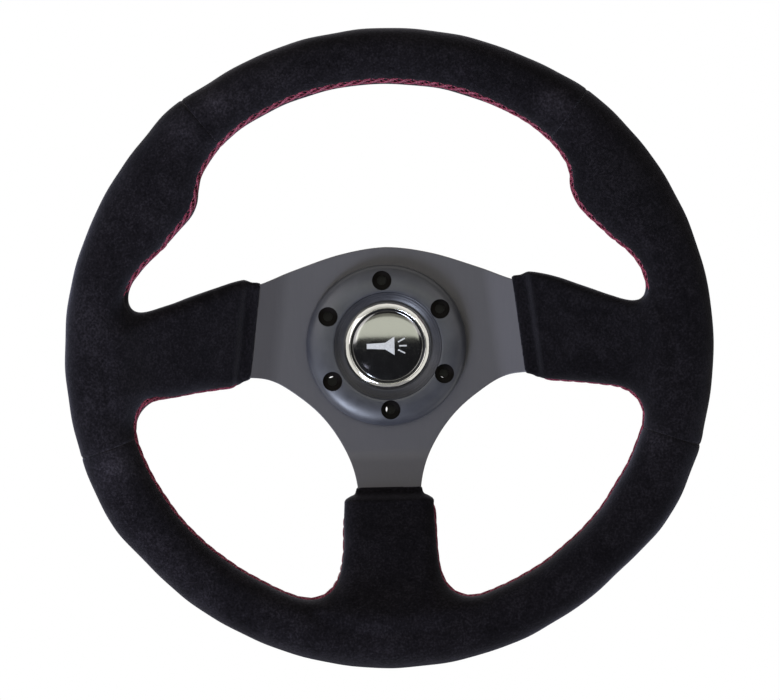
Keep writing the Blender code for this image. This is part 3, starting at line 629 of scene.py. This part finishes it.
def padded_skin():
    """The whole skin of the rim and the arms as points and quads, and the foam below it."""
    reach, low, high = 182 * MM, -6 * MM, 60 * MM
    xs = np.arange(-reach, reach, NET_STEP)
    hs = np.arange(low, high, NET_STEP)
    field = np.empty((len(xs), len(xs), len(hs)), np.float32)
    for i, x in enumerate(xs):
        y, h = np.meshgrid(xs, hs, indexing="ij")
        field[i] = skin_field(np.full_like(y, x), y, h)
    corner = np.array([-reach, -reach, low])
    foam = surface_net(field[::2, ::2, ::2] + FOAM_DEPTH, corner, 2 * NET_STEP)
    points, quads = surface_net(field, corner, NET_STEP)
    points = onto_skin(points)
    return relaxed(points, quads), quads, foam


# ---- seams, panels and covers
# Rays look for the skin in steps that are a share of the distance left, within limits.
RAY_STEPS, RAY_HIT, RAY_SHARE, RAY_STEP = 700, 0.05 * MM, 0.4, (0.03 * MM, 6 * MM)


def seam_paths():
    """The stitched lines round the three windows: where rays from a middle first meet the skin."""
    # The middle of each window and the span of its rays in degrees.
    spans = {
        "upper": ((0.0, 0.095), (-25.5, 205.5)),
        "lower_left": ((-0.080, -0.070), (93.0, 343.0)),
        "lower_right": ((0.080, -0.070), (-163.0, 87.0)),
    }
    paths = {}
    for name, ((cx, cy), (start, end)) in spans.items():
        angles = np.radians(np.linspace(start, end, 1500))
        reach = np.zeros(len(angles))
        hit = np.zeros(len(angles), bool)
        for _ in range(RAY_STEPS):
            x, y = cx + reach * np.cos(angles), cy + reach * np.sin(angles)
            value = skin_field(x, y, seam_height(x, y))
            hit |= value <= RAY_HIT
            reach = np.where(hit, reach, reach + np.clip(value * RAY_SHARE, *RAY_STEP))
        x, y = cx + reach * np.cos(angles), cy + reach * np.sin(angles)
        paths[name] = onto_skin(np.stack([x, y, seam_height(x, y)], -1))
    return paths


def seam_height(x, y):
    """Height of the stitched line: just in front of the middle of the section that it is on."""
    out = np.maximum(smoothstep(118 * MM, 140 * MM, np.hypot(x, y)),
                     smoothstep(44 * MM, 62 * MM, y))
    # On the arms, in mm in front of the plate's middle: above them, below them, along the foot.
    foot = smoothstep(-60 * MM, -75 * MM, y) * smoothstep(58 * MM, 46 * MM, np.abs(x))
    below = np.where(x < 0, 1.2 - 5.7 * foot, 0.2 + 0.8 * foot)
    arm = PLATE_THICKNESS / 2 + dish_at(x, y) + np.where(y > 0, 2.5, below) * MM
    # On the rim, in parts of its half depth: it winds towards the back at either end.
    left, right = smoothstep(-65 * MM, -100 * MM, x), smoothstep(40 * MM, 95 * MM, x)
    upper = 0.51 - 0.09 * left - 0.22 * right
    lower = np.where(x < 0, 0.04 + 0.22 * smoothstep(-70 * MM, -115 * MM, x), -0.04)
    rim = RIM_H + RIM_HALF_DEPTH * np.where(y > 0, upper, lower)
    return arm * (1 - out) + rim * out


def resample(path, step):
    """Evenly spaced points along a path."""
    length = np.concatenate([[0], np.cumsum(np.linalg.norm(np.diff(path, axis=0), axis=1))])
    count = int(length[-1] // step)
    at = np.linspace(0, length[-1], count + 1)
    return np.stack([np.interp(at, length, path[:, i]) for i in range(3)], -1)


def nearest_distance(points, path):
    """Distance from each point to the nearest sample of a path."""
    result = np.full(len(points), 1.0)
    lows, highs = path.min(0) - 6 * MM, path.max(0) + 6 * MM
    near = np.where(np.all((points > lows) & (points < highs), axis=1))[0]
    for part in np.array_split(near, max(1, len(near) // 2000)):
        gap = points[part][:, None, :] - path[None, :, :]
        result[part] = np.sqrt((gap**2).sum(-1)).min(1)
    return result


def with_neighbours(faces):
    """Faces with their edges and vertices."""
    near = set(faces)
    for face in faces:
        near.update(face.edges)
        near.update(face.verts)
    return list(near)


def cut_panels(points, quads):
    """Splits the skin at the four seams and opens it at the arms' inner ends."""
    bm = bmesh.new()
    verts = [bm.verts.new(p) for p in points]
    for quad in quads:
        bm.faces.new([verts[i] for i in quad])
    bm.verts.index_update()
    # Rows of edges beside each seam hold its rolled edge.
    offsets = [part * MM for part in (-2.6, -1.5, -0.8, 0.0, 0.8, 1.5, 2.6)]
    for degrees in SEAM_ANGLES:
        along = Vector((*heading(degrees), 0))
        across = Vector((-along.y, along.x, 0))
        for offset in offsets:
            faces = [f for f in bm.faces if abs(f.verts[0].co.dot(across)) < 7 * MM
                     and f.verts[0].co.dot(along) > INSIDE_RIM]
            bmesh.ops.bisect_plane(bm, geom=with_neighbours(faces), dist=1e-6,
                                   plane_co=across * offset, plane_no=across)
        edges = [e for e in bm.edges if all(abs(v.co.dot(across)) < 1e-6
                                            and v.co.dot(along) > INSIDE_RIM for v in e.verts)]
        bmesh.ops.split_edges(bm, edges=edges)
    (ex, ey), (fx, fy) = SIDE_END
    line = Vector((ex - fx, ey - fy, 0)).normalized()
    ends = []
    for mirror in (1, -1):
        normal = Vector((-line.y * mirror, line.x, 0))
        start = Vector((ex * mirror, ey, 0)) * MM - normal * 0.5 * MM
        ends.append((start, normal))
    ends.append((Vector((0, -(LOWER_END + 0.5) * MM, 0)), Vector((0, 1, 0))))
    for place, normal in ends:
        faces = [f for f in bm.faces if abs((f.verts[0].co - place).dot(normal)) < 4 * MM
                 and f.verts[0].co.length < INSIDE_RIM
                 and (f.verts[0].co - place).length < 80 * MM]
        bmesh.ops.bisect_plane(bm, geom=with_neighbours(faces), dist=1e-6, plane_co=place,
                               plane_no=normal, clear_outer=True)
    return bm


def panel_name(centre):
    """The panel that a face's centre lies in."""
    angle = math.degrees(math.atan2(centre.y, centre.x)) % 360
    return ("right", "upper", "left", "lower", "right")[np.searchsorted(SEAM_ANGLES, angle)]


PANEL_SINK, PANEL_PUFF, STITCH_SINK = 0.46 * MM, 0.15 * MM, 0.7 * MM


def seam_sink(points, paths):
    """How far the skin sinks: rolled edges with a slight puff at the panels, valleys at stitches."""
    sink = np.zeros(len(points))
    for degrees in SEAM_ANGLES:
        c, s = heading(degrees)
        ahead = points[:, :2] @ np.array([c, s]) > INSIDE_RIM
        off = np.abs(points[:, :2] @ np.array([-s, c]))
        sink = np.maximum(sink, np.where(ahead, PANEL_SINK * bell(off, 0, 0.8 * MM), 0))
        sink = sink - np.where(ahead, PANEL_PUFF * bell(off, 4.5 * MM, 2.5 * MM), 0)
    for path in paths.values():
        sink = sink + STITCH_SINK * bell(nearest_distance(points, path[::3]), 0, 1.6 * MM)
    return sink


def covers(paths):
    """The four suede sheets, and the foam under them."""
    points, quads, foam = padded_skin()
    add_object("foam_core", mesh_from("foam_core", *foam), finish=FOAM,
               replaces=("rim_foam",))
    bm = cut_panels(points, quads)
    bm.verts.index_update()
    co = np.array([v.co for v in bm.verts])
    co = co - unit(gradient_at(co)) * seam_sink(co, paths)[:, None]
    groups = {"upper": [], "left": [], "lower": [], "right": []}
    for face in bm.faces:
        groups[panel_name(face.calc_center_median())].append([v.index for v in face.verts])
    bm.free()
    for name, faces in groups.items():
        used = sorted({i for face in faces for i in face})
        place = {old: new for new, old in enumerate(used)}
        mesh = mesh_from(f"suede_{name}", co[used], [[place[i] for i in face] for face in faces])
        obj = add_object(f"suede_{name}", mesh, finish=SUEDE,
                         replaces=(f"cover_{name}",))
        shell = obj.modifiers.new("thickness", "SOLIDIFY")
        shell.thickness = COVER_THICKNESS
        shell.offset = -1.0


def tube(points, radius, sides):
    """Vertices and faces of a closed tube along points."""
    points = np.asarray(points)
    tangent = unit(np.gradient(points, axis=0))
    side = unit(np.cross(tangent, np.array([0.0, 0.0, 1.0])))
    up = np.cross(side, tangent)
    angles = 2 * math.pi * np.arange(sides) / sides
    rings = [
        p + radius * (np.cos(angles)[:, None] * a + np.sin(angles)[:, None] * b)
        for p, a, b in zip(points, side, up)
    ]
    verts = np.concatenate(rings)
    faces = []
    for first in range(0, (len(points) - 1) * sides, sides):
        for j in range(sides):
            near, far = first + j, first + (j + 1) % sides
            faces.append((near, far, far + sides, near + sides))
    faces.append(tuple(range(sides))[::-1])
    faces.append(tuple((len(points) - 1) * sides + j for j in range(sides)))
    return verts, faces


STITCH_PITCH, STITCH_STEPS = 7.3 * MM, 6
# Half width, length in steps, lift, thread radius and start in steps of each stroke of a stitch:
# two threads below that lean one way, and a doubled thread over them that leans the other way.
STITCH_STROKES = [
    (2.0 * MM, 6.5, -0.05 * MM, 0.40 * MM, 0.0),
    (2.0 * MM, 6.5, -0.05 * MM, 0.40 * MM, 3.0),
    (-2.1 * MM, 9.5, 0.34 * MM, 0.50 * MM, 0.0),
    (-2.1 * MM, 9.5, 0.34 * MM, 0.50 * MM, 1.1),
]
STITCH_DIP = 0.85 * MM  # how deep the ends go into the suede
STITCH_SPREAD = {"upper": 1.2, "lower_left": 0.75, "lower_right": 0.75}


def stitching(paths):
    """Crossed hand stitches, whose strokes lean across the seam and dip into it at their ends."""
    for name, path in paths.items():
        line = resample(path, STITCH_PITCH / STITCH_STEPS)
        line = onto_skin(line, 1)
        normal = unit(gradient_at(line))
        across = np.cross(normal, unit(np.gradient(line, axis=0)))
        verts, faces = [], []
        total = 0
        for lean, run, lift, radius, shift in STITCH_STROKES:
            for start in range(0, len(line) - math.ceil(run + shift) - 1, STITCH_STEPS):
                t = np.linspace(0, 1, 10)
                index = start + shift + t * run
                low = index.astype(int)
                part = (index - low)[:, None]
                spot = line[low] * (1 - part) + line[low + 1] * part
                side = across[low] * (1 - part) + across[low + 1] * part
                up = normal[low] * (1 - part) + normal[low + 1] * part
                arch = np.sin(math.pi * t)
                rise = lift * arch - STITCH_DIP * (1 - arch**0.4)
                swing = STITCH_SPREAD[name] * lean * np.cos(math.pi * t)
                stroke = onto_skin(spot + side * swing[:, None], 1)
                v, f = tube(stroke + up * rise[:, None], radius, 7)
                faces += [tuple(i + total for i in face) for face in f]
                verts.append(v)
                total += len(v)
        mesh = mesh_from(f"stitches_{name}", np.concatenate(verts), faces)
        add_object(f"stitches_{name}", mesh, finish=THREAD,
                   replaces=(f"stitching_{name}",))


# ---- spoke plate
# Edges of the plate's right half, (x, y) in mm.
PLATE_TOP_LEAD = (-24.9, 51.1)  # only leads into the curve
PLATE_TOP_EDGE = [
    (0.0, 53.8), (24.9, 50.2), (50.9, 41.8), (68.0, 35.3), (86.0, 30.5), (110.0, 23.5),
    (136.0, 16.5), (165.2, 15.0),
]
PLATE_LOWER_EDGE = [
    (164.8, -20.0), (130.0, -19.0), (95.0, -16.5), (74.5, -16.1), (62.0, -18.8), (48.9, -27.0),
    (37.4, -36.9), (28.1, -48.9), (20.8, -63.2), (17.3, -77.5), (16.5, -95.0), (16.5, -130.0),
    (16.5, -165.2),
]
PLATE_LEAN = -0.6  # mm to the left at the lower arm
PLATE_EDGE_STEPS = 12
PLATE_BEVEL = 0.45 * MM


def plate_edge(points):
    """A smooth edge through all of its points."""
    points = np.array(points, float)
    padded = np.concatenate([points[:1], points, points[-1:]])
    return [*smooth_run(padded, PLATE_EDGE_STEPS), points[-1]]


def plate_outline():
    """The right half from the tables, the left half mirrored, and the lower arm leaning over."""
    top = plate_edge([PLATE_TOP_LEAD, *PLATE_TOP_EDGE])[PLATE_EDGE_STEPS:]
    right = top + [np.array((FOOT_END_R / MM, 0.0))] + plate_edge(PLATE_LOWER_EDGE)
    left = [p * (-1, 1) for p in reversed(right[1:])]
    outline = right + [np.array((0.0, -FOOT_END_R / MM))] + left
    lean = [PLATE_LEAN * smoothstep(0, 60, -p[1]) * smoothstep(90, 40, abs(p[0])) for p in outline]
    return [(p + (shift, 0)) * MM for p, shift in zip(outline, lean)]


def arc(centre, radius, start, end, count):
    """Points along an arc between two angles, both ends included."""
    turns = [heading(start + (end - start) * i / (count - 1)) for i in range(count)]
    return [(centre[0] + radius * c, centre[1] + radius * s) for c, s in turns]


def circle(radius, count, centre=(0.0, 0.0)):
    return arc(centre, radius, 0, 360, count + 1)[:-1]


def bolt_places(turn, radius=BOLT_CIRCLE_R):
    """The middles of the six bolt holes, turned from upright."""
    return arc((0.0, 0.0), radius, 90 + turn, 390 + turn, 6)


def plate():
    """The plate from its outline, with broken edges, bent along its arms."""
    curve = bpy.data.curves.new("plate_outline", "CURVE")
    curve.dimensions = "2D"
    curve.fill_mode = "BOTH"
    curve.extrude = PLATE_THICKNESS / 2 - PLATE_BEVEL
    curve.bevel_depth = PLATE_BEVEL
    curve.bevel_resolution = 2
    curve.offset = -PLATE_BEVEL
    loops = [plate_outline(), circle(HUB_BORE_R, 96)]
    loops += [circle(PLATE_HOLE_R, 32, place) for place in bolt_places(PLATE_HOLE_TURN)]
    for loop in loops:
        spline = curve.splines.new("POLY")
        spline.points.add(len(loop) - 1)
        for point, (x, y) in zip(spline.points, loop):
            point.co = (x, y, 0, 1)
        spline.use_cyclic_u = True
    mesh = baked(linked("plate_outline", curve))
    bm = bmesh.new()
    bm.from_mesh(mesh)
    bmesh.ops.remove_doubles(bm, verts=bm.verts, dist=1e-6)
    for angle in (SIDE_ARM_ANGLE, 180 - SIDE_ARM_ANGLE, 270):
        arm = Vector((*heading(angle), 0))
        for bend in (BEND_START, BEND_END):
            for i in range(-4, 5):
                bmesh.ops.bisect_plane(bm, geom=bm.verts[:] + bm.edges[:] + bm.faces[:],
                                       dist=1e-7, plane_co=arm * (bend + i * MM), plane_no=arm)
    bmesh.ops.triangulate(bm, faces=[f for f in bm.faces if len(f.verts) > 4])
    for vert in bm.verts:
        x, y = vert.co.x, vert.co.y
        h = vert.co.z + PLATE_THICKNESS / 2 + float(dish_at(np.float64(x), np.float64(y)))
        vert.co = (x, -h, y)
    bmesh.ops.recalc_face_normals(bm, faces=bm.faces)
    bm.to_mesh(mesh)
    bm.free()
    mesh.shade_smooth()
    mesh.set_sharp_from_angle(angle=math.radians(35))
    obj = add_object("plate_skin", mesh, finish=ANODISED,
                     replaces=("spoke_plate",))
    obj.modifiers.new("flat_faces", "WEIGHTED_NORMAL").keep_sharp = True


# ---- turned pieces
def lathe(name, profile, steps):
    """A turned mesh from (radius, h) points in mm, listed from the front's middle outwards."""
    verts, faces, rings = [], [], []
    for r, h in profile:
        if r <= 0:
            rings.append([len(verts)])
            verts.append((0, 0, h))
        else:
            rings.append(list(range(len(verts), len(verts) + steps)))
            verts += [(x, y, h) for x, y in circle(r, steps)]
    pairs = list(zip(rings, rings[1:]))
    if len(rings[0]) > 1:
        pairs.append((rings[-1], rings[0]))
    for near, far in pairs:
        for i in range(steps):
            j = (i + 1) % steps
            if len(near) == 1:
                faces.append((near[0], far[i], far[j]))
            elif len(far) == 1:
                faces.append((near[i], far[0], near[j]))
            else:
                faces.append((near[i], far[i], far[j], near[j]))
    return mesh_from(name, np.array(verts) * MM, faces)


def cutter(name, radius, low, high, place, count):
    """A round cutter along the wheel's axis."""
    bm = bmesh.new()
    bmesh.ops.create_cone(bm, cap_ends=True, segments=count, radius1=radius, radius2=radius,
                          depth=high - low)
    for vert in bm.verts:
        x, y, h = vert.co.x + place[0], vert.co.y + place[1], vert.co.z + (low + high) / 2
        vert.co = (x, -h, y)
    bmesh.ops.recalc_face_normals(bm, faces=bm.faces)
    return linked(name, mesh_of(name, bm))


def with_holes(obj, cutters, inside):
    """An object's mesh with holes, whose walls take the finish given."""
    for tool in cutters:
        tool.data.materials.append(inside)
        step = obj.modifiers.new("hole", "BOOLEAN")
        step.operation = "DIFFERENCE"
        step.solver = "EXACT"
        step.material_mode = "TRANSFER"
        step.object = tool
    mesh = baked(obj)
    for tool in cutters:
        bpy.data.objects.remove(tool)
    return mesh


# The ring's bores and its foot are not quite in its middle, and the foot is a little wider.
BORE_CIRCLE_R, BORE_SHIFT = 35.4 * MM, (-0.8 * MM, 0.45 * MM)
FOOT_SHIFT, FOOT_GROWTH = (-0.6 * MM, 0.3 * MM), 0.008
CREST_R, CREST_H, FOOT_H = 31.0, 13.3, 6.9  # mm
BORE_R, BORE_FLOOR, RING_HOLE_R = 5.3 * MM, 7.0 * MM, 2.6 * MM


def horn_ring():
    """The trim ring: thin rounded edge, convex slope up to a soft crest, six counterbores."""
    outside = HORN_RING_R / MM
    slope = [(CREST_R + (outside - CREST_R) * s**0.9, FOOT_H + (CREST_H - FOOT_H) * c**1.15)
             for c, s in (heading(90 * i / 24) for i in range(23))]
    profile = [
        (29.42, 9.0), (29.42, 13.0), (29.55, 13.18), (30.2, 13.32), *slope,
        *arc((outside - 0.6, 6.2), 0.6, 50, 0, 5),
        (outside, 4.3), (29.3, 4.3), (29.3, 6.9), (27.6, 6.9), (27.6, 9.0),
    ]
    blank = lathe("ring_blank", profile, 192)
    blank.materials.append(RING_BLACK)
    for vert in blank.vertices:
        part = smoothstep(30 * MM, 42 * MM, math.hypot(vert.co.x, vert.co.z))
        vert.co.x += part * (FOOT_SHIFT[0] + FOOT_GROWTH * vert.co.x)
        vert.co.z += part * (FOOT_SHIFT[1] + FOOT_GROWTH * vert.co.z)
    tools = []
    for i, (x, y) in enumerate(bolt_places(HORN_RING_TURN, BORE_CIRCLE_R)):
        place = (x + BORE_SHIFT[0], y + BORE_SHIFT[1])
        tools.append(cutter(f"bore_{i}", BORE_R, BORE_FLOOR, 20 * MM, place, 48))
        tools.append(cutter(f"hole_{i}", RING_HOLE_R, 0.0, 10 * MM, place, 32))
    # The bores' walls take the painted shade.
    mesh = with_holes(linked("ring_blank", blank), tools, BORE_PAINTED_SHADE)
    mesh.shade_smooth()
    mesh.set_sharp_from_angle(angle=math.radians(38))
    obj = add_object("horn_ring_skin", mesh, replaces=("horn_ring",))
    soften = obj.modifiers.new("edges", "BEVEL")
    soften.width = 0.42 * MM
    soften.segments = 2
    soften.material = 0
    soften.limit_method = "ANGLE"
    soften.angle_limit = math.radians(50)


DOME_R, BEAD_STEP = 19.3, 0.215  # mm
SIGN_SCALE = 1.4


def turned_piece(name, profile, sharp, finish, replaces):
    """A turned piece of the button, its edges sharp from an angle up."""
    mesh = lathe(name, profile, 160)
    mesh.set_sharp_from_angle(angle=math.radians(sharp))
    add_object(name, mesh, "horn_button", finish, replaces)


def button():
    """The coved cap, the chrome bead and the clear dome, from profiles in mm."""
    cove = [(23.9 + 5.0 * t, 9.9 + 3.2 * t**1.7) for t in np.linspace(0, 1, 17)]
    cap = [
        (0, 9.6), (23.4, 9.6), *cove, (29.15, 13.15), (29.28, 13.0), (29.28, 12.6),
        (28.8, 12.3), (27.2, 11.7), (26.5, 9.5), (24.0, 9.3), (24.0, 3.0), (22.4, 3.0), (22.4, 8.0),
        (0, 8.0),
    ]
    turned_piece("button_cap_skin", cap, 40, CAP_BLACK, ("button_cap",))

    # A narrow rounded lip inside and a slope that falls away outwards, 29 to 40 degrees steep.
    bead = [(20.4, 10.0), (20.4, 12.5), *arc((20.8, 12.55), 0.4, 175, 62, 8)]
    radius, height = bead[-1]
    for tilt in np.radians(np.linspace(29, 40, 14)):
        radius, height = radius + BEAD_STEP, height - BEAD_STEP * math.tan(tilt)
        bead.append((radius, height))
    bead += [(24.1, height - 0.5), (24.05, 9.95)]
    turned_piece("chrome_bead", bead, 50, CHROME, ("button_chrome_ring",))

    dome = [(r, dome_height(r)) for r in (0, *np.linspace(0.8, 18.9, 36), 19.15)]
    dome += [(DOME_R, 10.9), (DOME_R, 10.0), (0, 10.0)]
    turned_piece("resin_dome", dome, 60, DOME, ("button_dome", "button_emblem"))
    horn_pictogram()


def dome_height(r):
    """The clear dome's height in mm at a radius in mm: nearly flat, rounder near its edge."""
    part = r / DOME_R
    return 11.0 + 1.7 * (1 - part**2) + 0.35 * (1 - part**18)


def horn_pictogram():
    """A plain horn sign: a tube with a flared bell and three sound strokes, lying on the dome."""
    shapes = [
        [(-8.2, -1.0), (-8.2, 1.0), (-6.8, 1.0), (-1.0, 1.3), (2.6, 3.6), (2.6, -3.6), (-1.0, -1.3),
         (-6.8, -1.0)],
    ]
    for angle in (-28, 0, 28):
        c, s = heading(angle)
        stroke = [(3.2, -0.28), (6.2, -0.28), (6.2, 0.28), (3.2, 0.28)]
        shapes.append([(1.2 + x * c - y * s, x * s + y * c) for x, y in stroke])
    bm = bmesh.new()
    for shape in shapes:
        verts = [bm.verts.new((SIGN_SCALE * x * MM, SIGN_SCALE * y * MM, 0)) for x, y in shape]
        bm.faces.new(verts)
    bmesh.ops.triangulate(bm, faces=bm.faces)
    for _ in range(3):
        bmesh.ops.subdivide_edges(bm, edges=bm.edges[:], cuts=1, use_grid_fill=True)
    lift = 0.03 * MM
    for vert in bm.verts:
        x, y = vert.co.x, vert.co.y
        vert.co = (x, -(dome_height(math.hypot(x, y) / MM) * MM + lift), y)
    bmesh.ops.recalc_face_normals(bm, faces=bm.faces)
    mesh = mesh_of("horn_sign", bm)
    obj = add_object("horn_sign", mesh, "horn_button", WHITE_PRINT)
    shell = obj.modifiers.new("thickness", "SOLIDIFY")
    shell.thickness = 0.04 * MM
    shell.offset = 0.0


# ---- carried-over CAD nodes
def finish_cad_nodes():
    """Materials for the CAD nodes that stay as they are."""
    groups = [
        (CAP_BLACK, ["button_body"]),
        (BRASS, ["moving_contact", "fixed_contact", "terminal_horn", "terminal_ground"]),
        (STEEL, ["rim_ring", *(f"spoke_rivet_{i}" for i in range(1, 7)),
                 *(f"return_spring_{i}" for i in (1, 2, 3)),
                 *(f"shoulder_screw_{i}" for i in (1, 2, 3))]),
    ]
    for finish, names in groups:
        for name in names:
            mesh = frame["nodes"][name].data
            mesh.materials.clear()
            mesh.materials.append(finish)


# ---- floor, light and camera
# Name, place, target, size, power and colour of each light.
LIGHTS = [
    ("key", (-1.06, -1.50, -1.90), (0, 0, 0), (1.0, 1.0), 72, (0.72, 0.80, 1.0)),
    ("fill_left", (-1.9, -2.4, 1.1), (0, 0, 0), (2.2, 2.2), 26, (1.0, 0.97, 0.97)),
    ("fill_right", (1.9, -2.4, 1.2), (0, 0, 0), (1.6, 1.6), 10, (1.0, 0.96, 0.95)),
    ("panel_low", (0, -1.64, 0.295), (0, -0.5, 0.295), (1.7, 0.41), 3.9, (0.98, 1.0, 0.84)),
    ("panel_high", (0, -1.64, 0.665), (0, -0.5, 0.665), (1.7, 0.33), 0.8, (1.0, 1.0, 0.80)),
    ("glint", (-0.376, -1.49, -0.43), (0, 0, 0), (0.10, 0.05), 0.03, (0.8, 0.8, 1.0)),
    ("back", (-0.5, 2.6, 1.6), (0, 0, 0), (2.0, 1.2), 24, (1, 1, 1)),
]


def lights():
    for name, place, target, size, power, colour in LIGHTS:
        data = bpy.data.lights.new(name, "AREA")
        data.shape = "RECTANGLE"
        data.size, data.size_y = size
        data.energy = power
        data.color = colour
        lamp = linked(name, data)
        lamp.location = place
        aim = Vector(target) - Vector(place)
        lamp.rotation_euler = aim.to_track_quat("-Z", "Y").to_euler()


def floor():
    bm = bmesh.new()
    bmesh.ops.create_circle(bm, cap_ends=True, segments=128, radius=0.50)
    disc = linked("floor", mesh_of("floor", bm))
    disc.location = (0, 0, -0.66)
    disc.data.materials.append(PALE_FLOOR)


def surroundings():
    """White to the camera; in reflections, white walls at the sides and a dark room in front."""
    world = bpy.data.worlds.new("studio")
    bpy.context.scene.world = world
    world.use_nodes = True
    tree = world.node_tree
    tree.nodes.clear()

    def background(colour, strength):
        inputs = {"Color": (*colour, 1), "Strength": strength}
        return add_node(tree, "Background", "Background", inputs)

    def mix(factor, first, second):
        return add_node(tree, "MixShader", "Shader", {"Fac": factor, 1: first, 2: second})

    coords = add_node(tree, "TexCoord", "Generated", {})
    depth = add_node(tree, "SeparateXYZ", "Y", {"Vector": coords})
    walls = add_node(tree, "MapRange", "Result",
                     {"Value": depth, "From Min": -0.80, "From Max": -0.35})
    walls.node.interpolation_type = "SMOOTHSTEP"
    mirrored = mix(walls, background((1, 1, 1), 0.02), background((1.0, 0.99, 0.93), 0.85))
    ray = tree.nodes.new("ShaderNodeLightPath").outputs
    lit = mix(ray["Is Glossy Ray"], background((1, 1, 1), 0.07), mirrored)
    seen = mix(ray["Is Camera Ray"], lit, background((1, 1, 1), 1.0))
    tree.links.new(seen, tree.nodes.new("ShaderNodeOutputWorld").inputs["Surface"])
    bpy.context.scene.view_settings.view_transform = "Standard"
    bpy.context.scene.view_settings.look = "None"


def camera():
    """A long lens almost straight in front, a little to the left and above, rolled slightly."""
    distance, roll, azimuth, elevation = 3.0, 1.2, -1.3, 2.26
    target = Vector((0.0006, -RIM_H, -0.0012))
    (side, ahead), (flat, up) = heading(90 - azimuth), heading(elevation)
    back = Vector((side * flat, -ahead * flat, up))
    data = bpy.data.cameras.new("camera")
    data.sensor_width = 36.0
    frame_width = 0.422
    data.lens = data.sensor_width * distance / frame_width
    data.clip_end = 100
    cam = linked("camera", data)
    turn = (-back).to_track_quat("-Z", "Y").to_matrix().to_4x4()
    cam.matrix_world = (Matrix.Translation(target + back * distance) @ turn
                        @ Matrix.Rotation(math.radians(-roll), 4, "Z"))
    bpy.context.scene.camera = cam


camera()
floor()
lights()
surroundings()
PATHS = seam_paths()
covers(PATHS)
stitching(PATHS)
plate()
horn_ring()
button()
finish_cad_nodes()
